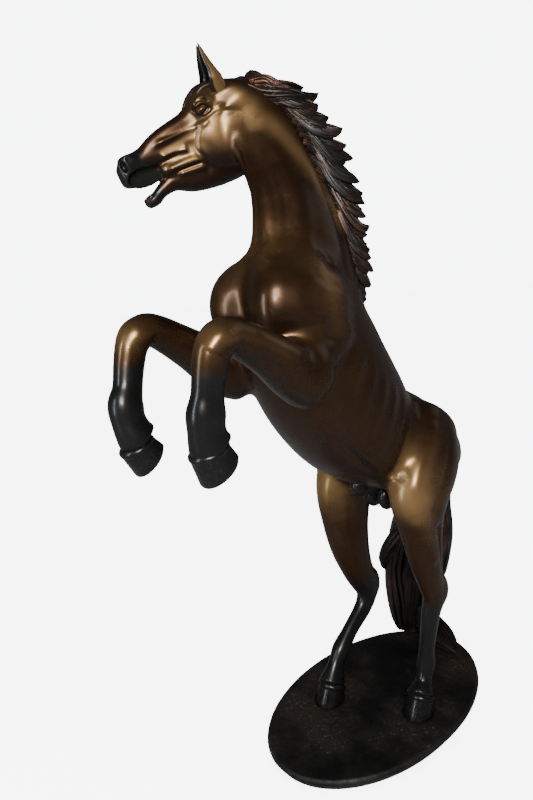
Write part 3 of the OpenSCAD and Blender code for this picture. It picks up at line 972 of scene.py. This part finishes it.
def crest_line():
    """Points along the crest, from the withers up the neck and over the poll, with side and outward."""
    centre, side, up, _, depth = neck.frame_at(np.linspace(1.1, neck.last, 60))
    crest = centre + up * (depth[:, None] - 8)
    poll = np.array([from_head(p) for p in ((-34, 0, -14), (-16, 0, -8), (2, 0, -4), (16, 0, -2))])
    lift = unit(HEAD[2] - 0.4 * HEAD[0])
    line = np.vstack([crest, poll])
    sides = np.vstack([side, np.tile(HEAD[1], (len(poll), 1))])
    ups = np.vstack([up, np.tile(lift, (len(poll), 1))])
    gaps = np.linalg.norm(np.diff(line, axis=0), axis=1)
    return np.concatenate([[0], np.cumsum(gaps)]), line, sides, ups


CREST = crest_line()


def crest_at(share):
    """Place, side and outward direction at a share of the crest's length, from the withers up."""
    at, line, sides, ups = CREST
    here = np.clip(share, 0, 1) * at[-1]
    place = vec(*[np.interp(here, at, line[:, k]) for k in range(3)])
    side = unit(vec(*[np.interp(here, at, sides[:, k]) for k in range(3)]))
    return place, side, unit(vec(*[np.interp(here, at, ups[:, k]) for k in range(3)]))


MANE = {"mane_upper": (0.68, 1.0), "mane_middle": (0.36, 0.68), "mane_lower": (0.0, 0.36)}
MANE_PLACES = (0, 0.12, 0.3, 0.5, 0.72, 0.9, 1.0)
MANE_SWEEP = (22, 48, 86, 112, 108, 126, 156)
MANE_FALL = (70, 100, 118, 100, 70, 52, 32)
MANE_STEP = 18.0
WIND = unit(vec(-0.78, 0.52, 0.0))


def mane_lock(share, layer, rng):
    """One lock, leaving the crest steeply and curling level with the wind."""
    root, side, up = crest_at(share)
    longer = rng.uniform(0.86, 1.0) * (1 - 0.06 * layer) * (1.14 if rng.random() < 0.3 else 1)
    sweep = np.interp(share, MANE_PLACES, MANE_SWEEP) * longer
    drop = np.interp(share, MANE_PLACES, MANE_FALL) * rng.uniform(0.85, 1.15)
    curl = rng.uniform(-0.1, 0.16) * sweep
    wave = rng.uniform(-7, 7)
    root = root + side * (38 - 18 * layer) - up * (15, 4, 0)[layer] + rng.normal(0, 1.5, 3)
    flow = unit(WIND + side * 0.12 * (1 - layer) + rng.normal(0, 0.04, 3))
    path = [root - up * 10 - flow * 5]
    for s in (0.1, 0.28, 0.46, 0.64, 0.8, 0.92, 1.0):
        fall = drop * (1 - (1 - s) ** 1.8) - curl * s ** 5 + wave * np.sin(6.3 * s)
        path.append(root + flow * sweep * s + up * 9 * (1 - s) + vec(0, 0, -fall))
    widths = vec(10, 18, 22, 23, 21, 17, 10, 1.2) * rng.uniform(0.85, 1.1)
    depths = vec(8, 11, 12, 11, 10, 8, 5, 1.0)
    strands = rng.integers(9, 14)
    return lock(np.array(path), widths, depths, unit(side + 0.25 * up), strands, rng, 84 if FINE else 48, 4)


def mane(name, low, high):
    """Locks in three layers along one stretch of the crest, swept back by the wind."""
    rng = np.random.default_rng(SEED + int(100 * low))
    parts = []
    step = MANE_STEP / CREST[0][-1]
    for layer in range(3):
        for share in np.arange(high - 0.3 * step * layer, low, -step):
            parts.append(mane_lock(share, layer, rng))
    verts, faces = join(parts)
    ob = new_object(name + "_locks", verts, faces)
    smooth(ob)
    return ob


TAIL = [(-330, 2, 655, 26, 24, 0), (-360, 0, 640, 30, 28, 8), (-380, -20, 598, 40, 34, 16),
        (-392, -50, 520, 60, 38, 24), (-396, -82, 430, 90, 42, 30), (-398, -100, 340, 110, 44, 30),
        (-390, -118, 233, 112, 42, 30), (-378, -128, 174, 102, 40, 30), (-362, -120, 94, 92, 36, 30),
        (-346, -112, 35, 76, 26, 30), (-338, -104, -4, 58, 16, 30)]


# A lock that flips away from the tail, and the ends that curl along the base.
TAIL_ENDS = [
    [(-392, -60, 420), (-376, -104, 380), (-352, -148, 330), (-332, -180, 282), (-320, -198, 240),
     (-326, -196, 214)],
    [(-366, -110, 96), (-352, -74, 50), (-338, -32, 26), (-322, 8, 17), (-308, 44, 11), (-298, 76, 5)],
    [(-372, -96, 70), (-364, -56, 36), (-352, -18, 22), (-338, 16, 16), (-324, 46, 10), (-316, 66, 4)],
]


def tail(name, first, last, seed):
    """Long locks laid round the tail's oval, each from near the dock to its own length."""
    rng = np.random.default_rng(seed)
    body = Limb(TAIL)
    at = np.linspace(first, last, 14) * body.last
    centre, _, up, w, h = body.frame_at(at)
    parts = [lock(centre, 0.82 * w, 0.8 * h, up[7], 12, rng, count=72, steps=2)]
    count = 46 if FINE else 20
    for i in range(count):
        angle = 2 * np.pi * (i + rng.uniform(-0.2, 0.2)) / count
        end = last if rng.random() < 0.6 else last - (last - first) * rng.uniform(0.05, 0.3)
        at = np.linspace(first, end, 14)
        wave = rng.uniform(0, 6)
        drift = rng.uniform(-0.3, 0.3)
        centre, side, up, w, h = body.frame_at(at * body.last)
        turn = angle + drift * (at - first) + 0.12 * np.sin(9 * at + wave)
        path = centre + side * (w * 0.84 * np.cos(turn))[:, None] + up * (h * 0.84 * np.sin(turn))[:, None]
        taper = 1 - 0.8 * smooth_step((at - first) / (end - first) * 5 - 4)
        out = unit(path[7] - centre[7])
        parts.append(lock(path, (0.13 * w + 5) * taper, (0.14 * h + 4) * taper, out, rng.integers(3, 6),
                          rng, count=24, steps=2))
    for path in TAIL_ENDS if last == 1 else []:
        for i in range(5):
            wisp = np.array(path, float) + rng.normal(0, 5, 3) + vec(0, 4 * i - 8, 7 * i - 14)
            widths = vec(16, 26, 28, 24, 14, 2)
            parts.append(lock(wisp, widths, 0.7 * widths, vec(0.6, 0.7, 0.4), 5, rng, count=28))
    verts, faces = join(parts)
    verts[:, 2] = np.maximum(verts[:, 2], -3)
    ob = new_object(name + "_locks", verts, faces)
    smooth(ob)
    return ob


FORELOCK = [(24, 8), (48, 20), (74, 27), (100, 29), (126, 21), (148, 7), (161, -6)]


def forelock():
    """Two layers of locks over the forehead, from between the ears down to the brow."""
    rng = np.random.default_rng(SEED)
    parts = []
    for layer in range(2):
        for i in range(11):
            across = -25 + 5 * i + 2.5 * layer
            short = 1 - 0.03 * abs(i - 5) - 0.06 * layer
            path = []
            for k, (x, z) in enumerate(FORELOCK):
                gather = 1 - 0.09 * k
                sag = 0.012 * (across * gather) ** 2
                path.append(from_head((24 + (x - 24) * short, across * gather, z - sag - 9 * layer)))
            widths = vec(6, 8, 9, 9, 8, 5, 1) * rng.uniform(0.85, 1.1)
            depths = vec(6, 8, 9, 9, 8, 5, 1)
            parts.append(lock(np.array(path), widths, depths, HEAD[2], 4, rng, count=26))
    verts, faces = join(parts)
    ob = new_object("forelock_locks", verts, faces)
    smooth(ob)
    return ob


# ---- Ears ----

EAR_ROOT, EAR_RISE, EAR_FULL = -8, 116, 0.33


def ear_radius(t):
    """Half the ear's width: swelling to a third of its height, then tapering to the tip."""
    if t < EAR_FULL:
        return 17 + 5.5 * t / EAR_FULL
    return 0.6 + 22 * (1 - (t - EAR_FULL) / (1 - EAR_FULL)) ** 0.78


def ear(name, hand, laid_back):
    """A cupped leaf with a rolled edge, its hollow to the front; laid_back moves its tip to the rear."""
    along, across, thick = 26, 32, 2.6
    lean = np.radians(-4)
    verts, hollow = [], []
    for shell in (0, 1):
        for i in range(along):
            t = i / (along - 1)
            centre = vec(57 + 7 * np.sin(np.pi * t) - laid_back * t, 35 + 4 * t, EAR_ROOT + EAR_RISE * t)
            spread = np.radians(165 - 62 * smooth_step(t * 1.8))
            r = max(ear_radius(t) - thick * shell * (1 - 0.7 * t), 0.3)
            for j in range(across):
                phi = spread * (2 * j / (across - 1) - 1)
                x = -r * np.cos(phi)
                y = r * 0.8 * np.sin(phi)
                q = centre + vec(x * np.cos(lean) - y * np.sin(lean), x * np.sin(lean) + y * np.cos(lean),
                                 1.2 * shell)
                verts.append(from_head(q * vec(1, hand, 1)))
                hollow.append(max(shell, smooth_step((abs(phi) / spread - 0.8) / 0.1)))
    faces = ring_faces(along, across, closed=False)
    size = along * across
    faces += [tuple(size + k for k in reversed(f)) for f in ring_faces(along, across, closed=False)]
    for i in range(along - 1):
        for j in (0, across - 1):
            a, b = i * across + j, (i + 1) * across + j
            faces.append((a, b, b + size, a + size))
    for row in (0, along - 1):
        for j in range(across - 1):
            a, b = row * across + j, row * across + j + 1
            faces.append((a, b, b + size, a + size))
    ob = new_object(name + "_bronze", np.array(verts), faces)
    # The ear's golden back is partly a painted highlight
    set_attribute(ob.data, "gold_and_highlight", 0.85 * (1 - np.array(hollow)))
    set_attribute(ob.data, "black", 0.9 * np.array(hollow))
    smooth(ob)
    return ob


# ---- Sheath ----

def sheath_field(P):
    m = mirrored(P)
    d = ellipsoid(P, (24, 0, 640), (38, 24, 32))
    d = blend(d, ellipsoid(P, (-24, 0, 632), (46, 25, 32)), 12)
    d -= ridge(m, [(44, 0, 656), (40, 16, 646), (32, 20, 630), (26, 12, 616), (24, 0, 612)], 3, 4, fade=40)
    d = carve(d, ellipsoid(P, (42, 3, 632), (12, 10, 14)), 4)
    d = blend(d, ellipsoid(m, (-58, 22, 586), (32, 22, 36)), 7)
    return d


def plain_piece(name, field, lo, hi, cell):
    verts, quads = surface(field, lo, hi, cell * (1.0 if FINE else 1.5))
    verts, normals = settle(field, verts)
    ob = new_object(name + "_bronze", verts, quads)
    for p in ob.data.polygons:
        p.use_smooth = True
    return ob


# ---- Base ----

def noise2(x, y, seed, cell):
    """Smooth noise from 0 to 1 on a plane."""
    rng = np.random.default_rng(seed)
    table = rng.random((64, 64))
    u, v = x / cell, y / cell
    i, j = np.floor(u).astype(int), np.floor(v).astype(int)
    s, t = smooth_step(u - i), smooth_step(v - j)
    a = table[i % 64, j % 64] * (1 - s) + table[(i + 1) % 64, j % 64] * s
    b = table[i % 64, (j + 1) % 64] * (1 - s) + table[(i + 1) % 64, (j + 1) % 64] * s
    return a * (1 - t) + b * t


UNDERCUT = 15.0


def base_plate():
    """The oval base: a hollow casting with a rounded edge and a rough, pitted top."""
    count = 360 if FINE else 180
    theta = np.linspace(0, 2 * np.pi, count, endpoint=False)
    half_long, half_wide = BASE_BOX[1].x / MM, BASE_BOX[1].y / MM
    top, edge, wall = BASE_TOP, 14.0, 8.0
    outline = [(UNDERCUT * (1 - h / (top - edge)) ** 0.8, h) for h in np.linspace(0, top - edge, 7)]
    for a in np.radians(np.arange(12, 91, 13)):
        outline.append((edge * (1 - np.cos(a)), top - edge + edge * np.sin(a)))
    shares = np.linspace(1, 0.012, 62 if FINE else 30)[1:]
    rings = []
    for inset, height in outline:
        rings.append((half_long - inset, half_wide - inset, height))
    for s in shares:
        rings.append(((half_long - edge) * s, (half_wide - edge) * s, top))
    under = [(wall, top - wall - edge), (wall + UNDERCUT, 0.0)]
    inner = [((half_long - wall - edge) * s, (half_wide - wall - edge) * s, top - wall)
             for s in np.linspace(0.02, 1, 12)]
    inner += [(half_long - inset, half_wide - inset, height) for inset, height in under]
    verts = []
    for a, b, height in rings + inner:
        x, y = a * np.cos(theta), b * np.sin(theta)
        z = np.full(count, height - top)
        if height > top - 0.5:
            lumps = 2.2 * (noise2(x, y, 1, 70) - 0.5) + 1.2 * (noise2(x, y, 2, 26) - 0.5)
            pits = -1.0 * smooth_step((noise2(x, y, 3, 11) - 0.72) / 0.2)
            z = z - 1.2 + lumps * 0.7 + pits
        elif height > 1:
            swell = 1 + 0.0022 * (noise2(200 * theta, height * 2.0 + 0 * theta, 4, 21) - 0.5)
            x, y = x * swell, y * swell
        verts.append(np.column_stack([x, y, z]))
    verts = np.concatenate(verts)
    total = len(rings) + len(inner)
    faces = [f for f in ring_faces(total, count) if not len(rings) - 1 == f[0] // count]
    faces += [tuple(i for i in range((len(rings) - 1) * count, len(rings) * count))]
    faces += [tuple(reversed([i for i in range(len(rings) * count, (len(rings) + 1) * count)]))]
    last = (total - 1) * count
    for i in range(count):
        j = (i + 1) % count
        faces.append((last + i, last + j, j, i))
    ob = new_object("base_plate_bronze", verts, faces)
    smooth(ob, angle=55)
    return ob


# ---- Materials ----

def plug(tree, value, socket):
    """Links a node's output to a socket, or sets the socket to a plain value."""
    if isinstance(value, bpy.types.NodeSocket):
        tree.links.new(value, socket)
    else:
        socket.default_value = value


class Nodes:
    """Short names for building one material's nodes."""

    def __init__(self, name):
        self.material = bpy.data.materials.new(name)
        self.material.use_nodes = True
        self.tree = self.material.node_tree
        self.shader = self.tree.nodes["Principled BSDF"]

    def add(self, kind, **inputs):
        node = self.tree.nodes.new(kind)
        for key, value in inputs.items():
            self.plug(value, node.inputs[key.replace("_", " ")])
        return node

    def plug(self, value, socket):
        plug(self.tree, value, socket)

    def place(self):
        return self.add("ShaderNodeTexCoord").outputs["Object"]

    def noise(self, scale, detail=4.0, roughness=0.55, where=None):
        node = self.add("ShaderNodeTexNoise", Scale=scale, Detail=detail, Roughness=roughness)
        self.plug(where or self.place(), node.inputs["Vector"])
        return node.outputs["Fac"]

    def attribute(self, name):
        node = self.tree.nodes.new("ShaderNodeAttribute")
        node.attribute_name = name
        return node.outputs["Fac"]

    def math(self, operation, a, b=0.0, clamp=False):
        node = self.tree.nodes.new("ShaderNodeMath")
        node.operation = operation
        node.use_clamp = clamp
        self.plug(a, node.inputs[0])
        self.plug(b, node.inputs[1])
        return node.outputs[0]

    def remap(self, value, low, high, out_low=0.0, out_high=1.0):
        node = self.tree.nodes.new("ShaderNodeMapRange")
        node.interpolation_type = "SMOOTHSTEP"
        for k, v in enumerate((value, low, high, out_low, out_high)):
            self.plug(v, node.inputs[k])
        return node.outputs["Result"]

    def mix(self, factor, a, b):
        node = self.tree.nodes.new("ShaderNodeMix")
        node.data_type = "RGBA"
        self.plug(factor, node.inputs["Factor"])
        for socket, value in ((node.inputs[6], a), (node.inputs[7], b)):
            self.plug(value if isinstance(value, bpy.types.NodeSocket) else (*value, 1.0), socket)
        return node.outputs[2]

    def bump(self, height, strength, distance, normal=None):
        node = self.tree.nodes.new("ShaderNodeBump")
        node.inputs["Strength"].default_value = strength
        node.inputs["Distance"].default_value = distance
        self.plug(height, node.inputs["Height"])
        if normal is not None:
            self.plug(normal, node.inputs["Normal"])
        return node.outputs["Normal"]

    def set(self, **inputs):
        for key, value in inputs.items():
            socket = self.shader.inputs[key.replace("_", " ")]
            if isinstance(value, tuple):
                value = (*value, 1.0)
            self.plug(value, socket)


BLACK = (0.012, 0.0117, 0.0115)
BROWN = (0.024, 0.0105, 0.0042)
GOLDEN_AND_HIGHLIGHT = (0.17, 0.10, 0.040)
COPPER = (0.17, 0.068, 0.034)


def body_bronze():
    n = Nodes("bronze_body")
    cloud = n.noise(5.0, 5.0, 0.6)
    fine = n.noise(38.0, 4.0, 0.6)
    # Golden tone: patina and painted highlights
    gold_and_highlight_mix = n.math("ADD", n.attribute("gold_and_highlight"), n.math("MULTIPLY", n.math("SUBTRACT", cloud, 0.5), 0.9))
    gold_and_highlight_mix = n.math("ADD", gold_and_highlight_mix, n.math("MULTIPLY", n.math("SUBTRACT", fine, 0.5), 0.08))
    colour = n.mix(n.remap(gold_and_highlight_mix, 0.0, 1.1), BROWN, GOLDEN_AND_HIGHLIGHT)
    # Blackening: dark patina with the painted underside shade
    patina_and_painted_light = n.math("ADD", n.attribute("black"), n.math("MULTIPLY", n.math("SUBTRACT", fine, 0.5), 0.15))
    colour = n.mix(n.remap(patina_and_painted_light, 0.15, 0.85), colour, BLACK)
    grime = n.remap(n.noise(90.0, 6.0, 0.7), 0.58, 0.75)
    colour = n.mix(n.math("MULTIPLY", grime, 0.12), colour, BLACK)
    inside = n.attribute("rough")
    colour = n.mix(inside, colour, (0.0065, 0.007, 0.005))
    gloss = n.remap(n.noise(14.0, 5.0, 0.65), 0.3, 0.7, 0.25, 0.38)
    gloss = n.math("MAXIMUM", gloss, n.math("MULTIPLY", inside, 0.75))
    n.set(Base_Color=colour, Metallic=0.86, Roughness=gloss, Coat_Weight=0.12, Coat_Roughness=0.14)
    skin = n.bump(n.noise(230.0, 3.0), 0.10, 0.0006)
    rough = n.math("MULTIPLY", inside, n.noise(160.0, 5.0, 0.7))
    n.set(Normal=n.bump(rough, 0.9, 0.003, skin))
    return n.material


def dark_bronze():
    n = Nodes("bronze_dark")
    fine = n.noise(46.0, 5.0, 0.6)
    colour = n.mix(n.remap(fine, 0.5, 0.8), BLACK, (0.022, 0.015, 0.011))
    stretch = n.add("ShaderNodeMapping", Scale=(60.0, 60.0, 9.0))
    n.plug(n.place(), stretch.inputs["Vector"])
    scratch = n.noise(5.0, 6.0, 0.7, stretch.outputs[0])
    colour = n.mix(n.math("MULTIPLY", n.remap(scratch, 0.58, 0.74), 0.35), colour, (0.10, 0.10, 0.10))
    n.set(Base_Color=colour, Metallic=0.85, Roughness=n.remap(fine, 0.3, 0.7, 0.2, 0.34), Coat_Weight=0.1,
          Coat_Roughness=0.12)
    n.set(Normal=n.bump(scratch, 0.25, 0.001))
    return n.material


def hair_bronze():
    n = Nodes("bronze_hair")
    # Copper on the strands' ridge tops: rubbed patina and painted highlight
    ridge_top = n.remap(n.add("ShaderNodeNewGeometry").outputs["Pointiness"], 0.51, 0.56)
    cloud = n.remap(n.noise(11.0, 4.0), 0.42, 0.68)
    patina_and_painted_light = n.math("MULTIPLY", ridge_top, n.math("MULTIPLY", cloud, 0.6))
    colour = n.mix(patina_and_painted_light, (0.013, 0.0115, 0.0105), COPPER)
    n.set(Base_Color=colour, Metallic=0.88, Roughness=n.remap(n.noise(30.0), 0.3, 0.7, 0.30, 0.46),
          Coat_Weight=0.05, Coat_Roughness=0.2)
    return n.material


def base_bronze():
    n = Nodes("bronze_base")
    grain = n.noise(120.0, 8.0, 0.7)
    cloud = n.noise(7.0, 5.0, 0.6)
    colour = n.mix(n.remap(cloud, 0.35, 0.7), (0.008, 0.0078, 0.0075), (0.024, 0.022, 0.020))
    rust = n.remap(n.noise(3.2, 6.0, 0.65), 0.5, 0.68)
    colour = n.mix(n.math("MULTIPLY", rust, 0.6), colour, (0.034, 0.021, 0.013))
    scuff = n.math("MULTIPLY", n.remap(grain, 0.56, 0.66), n.remap(cloud, 0.5, 0.62))
    colour = n.mix(n.math("MULTIPLY", scuff, 0.7), colour, (0.12, 0.115, 0.10))
    n.set(Base_Color=colour, Metallic=0.8, Specular_IOR_Level=0.3,
          Roughness=n.remap(grain, 0.3, 0.7, 0.42, 0.62))
    lumps = n.bump(n.noise(34.0, 5.0, 0.6), 0.5, 0.004)
    n.set(Normal=n.bump(grain, 0.35, 0.0015, lumps))
    return n.material


def mill_steel():
    n = Nodes("steel_armature")
    streak = n.add("ShaderNodeMapping", Scale=(8.0, 90.0, 90.0))
    n.plug(n.place(), streak.inputs["Vector"])
    brush = n.noise(6.0, 4.0, 0.5, streak.outputs[0])
    rust = n.remap(n.noise(24.0, 6.0, 0.65), 0.6, 0.72)
    colour = n.mix(brush, (0.33, 0.34, 0.35), (0.46, 0.47, 0.48))
    colour = n.mix(n.math("MULTIPLY", rust, 0.5), colour, (0.15, 0.07, 0.035))
    n.set(Base_Color=colour, Metallic=0.9, Roughness=n.remap(brush, 0.2, 0.8, 0.35, 0.55))
    n.set(Normal=n.bump(brush, 0.15, 0.001))
    return n.material


# ---- Stage ----

LOOK_AT_TURN, LOOK_DOWN, ROLL = np.radians((137.9, 10.9, -4.7))
CAMERA_AT = (1260, 1018.5, 1197)
LENS = 27.855
SENSOR = 36
AROUND = 7.5  # how bright the surroundings are to the camera
SOFT = 2.6  # as light on the floor
MIRRORED = 0.09  # in the bronze's reflections
FLOOR_GLOW = 4.6  # added to the floor, so that it meets the surroundings without a seam
FLOOR_WHITE = (0.93, 0.93, 0.93)
FLOOR_MIRRORED = (0.07, 0.07, 0.07)


def camera():
    data = bpy.data.cameras.new("camera")
    data.sensor_fit = "VERTICAL"
    data.sensor_height = SENSOR
    data.lens = LENS
    back = vec(np.sin(LOOK_AT_TURN) * np.cos(LOOK_DOWN), -np.cos(LOOK_AT_TURN) * np.cos(LOOK_DOWN),
               np.sin(LOOK_DOWN))
    right = vec(np.cos(LOOK_AT_TURN), np.sin(LOOK_AT_TURN), 0)
    up = np.cross(back, right)
    tilted = [np.cos(ROLL) * right + np.sin(ROLL) * up, -np.sin(ROLL) * right + np.cos(ROLL) * up, back]
    ob = bpy.data.objects.new("camera", data)
    matrix = np.eye(4)
    matrix[:3, :3] = np.array(tilted).T
    matrix[:3, 3] = to_metres(CAMERA_AT)
    ob.matrix_world = Matrix(matrix.tolist())
    bpy.context.scene.collection.objects.link(ob)
    bpy.context.scene.camera = ob


def aim(ob, at, target):
    ob.location = at
    ob.rotation_euler = (Vector(at) - Vector(target)).to_track_quat("Z", "Y").to_euler()


def softbox(name, at, target, size, power, colour=(1, 1, 1)):
    data = bpy.data.lights.new(name, "AREA")
    data.shape = "RECTANGLE"
    data.size, data.size_y = size
    data.energy = power
    data.color = colour
    ob = bpy.data.objects.new(name, data)
    bpy.context.scene.collection.objects.link(ob)
    aim(ob, at, target)


def stage():
    """A pale floor under soft studio light."""
    bpy.ops.mesh.primitive_plane_add(size=60, location=(0, 0, 0))
    floor = bpy.context.object
    floor.name = "floor"
    n = Nodes("floor")
    mirrored_dark = n.remap(n.add("ShaderNodeLightPath").outputs["Is Glossy Ray"], 0.0, 1.0)
    n.set(Base_Color=n.mix(mirrored_dark, FLOOR_WHITE, FLOOR_MIRRORED), Roughness=0.8)
    n.set(Specular_IOR_Level=0.1, Emission_Color=(1.0, 1.0, 1.0))
    n.set(Emission_Strength=n.remap(mirrored_dark, 0.0, 1.0, FLOOR_GLOW, 0.0))
    floor.data.materials.append(n.material)
    bpy.context.scene.world = studio()
    middle = (0.1, 0, 0.95)
    softbox("key", (3.0, 3.0, 3.2), middle, (1.5, 1.5), 285, (1.0, 0.97, 0.92))
    softbox("flash", (1.75, 1.45, 1.75), middle, (0.3, 0.3), 28)
    softbox("strip", (3.3, -0.2, 1.4), middle, (0.4, 2.2), 60, (0.88, 0.94, 1.0))
    softbox("rim", (-2.6, 1.2, 2.6), middle, (1.6, 1.6), 4)


def studio():
    """Pale surroundings: bright behind the statue, softer as light, and dark in its reflections."""
    world = bpy.data.worlds.new("studio")
    world.use_nodes = True
    tree = world.node_tree
    background = tree.nodes["Background"]
    background.inputs["Color"].default_value = (0.95, 0.97, 1.0, 1)
    path = tree.nodes.new("ShaderNodeLightPath")
    strength = SOFT
    for ray, level in (("Is Glossy Ray", MIRRORED), ("Is Camera Ray", AROUND)):
        step = tree.nodes.new("ShaderNodeMapRange")
        plug(tree, path.outputs[ray], step.inputs["Value"])
        plug(tree, strength, step.inputs["To Min"])
        plug(tree, level, step.inputs["To Max"])
        strength = step.outputs["Result"]
    plug(tree, strength, background.inputs["Strength"])
    return world


# ---- Putting it together ----

def finish_piece(ob, node, material):
    ob.data.materials.clear()
    ob.data.materials.append(material)
    for p in ob.data.polygons:
        p.material_index = 0
    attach(ob, "root")
    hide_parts(node)


def build():
    camera()
    stage()
    body = body_bronze()
    dark = dark_bronze()
    hair = hair_bronze()
    base = base_bronze()
    steel = mill_steel()
    for node, spec in CASTINGS.items():
        finish_piece(casting(node, spec), node, body)
    for node, (sole, toe, back) in HOOVES.items():
        finish_piece(hoof(node, sole, toe, back), node, dark)
    for node, (low, high) in MANE.items():
        finish_piece(mane(node, low, high), node, hair)
    finish_piece(tail("tail_dock", 0, 0.36, 3), "tail_dock", hair)
    finish_piece(tail("tail_switch", 0.28, 1, 5), "tail_switch", hair)
    finish_piece(forelock(), "forelock", hair)
    finish_piece(ear("left_ear", 1, 0), "left_ear", body)
    finish_piece(ear("right_ear", -1, 26), "right_ear", body)
    finish_piece(plain_piece("sheath", sheath_field, (-120, -60, 530), (80, 60, 700), 3), "sheath", dark)
    finish_piece(base_plate(), "base_plate", base)
    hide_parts("lower_jaw")
    for node in ("base_frame", "anchor_bosses", "left_leg_post", "right_leg_post", "spine_bar", "post_nuts",
                 "post_washers"):
        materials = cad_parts[node].data.materials
        materials.clear()
        materials.append(steel)


build()
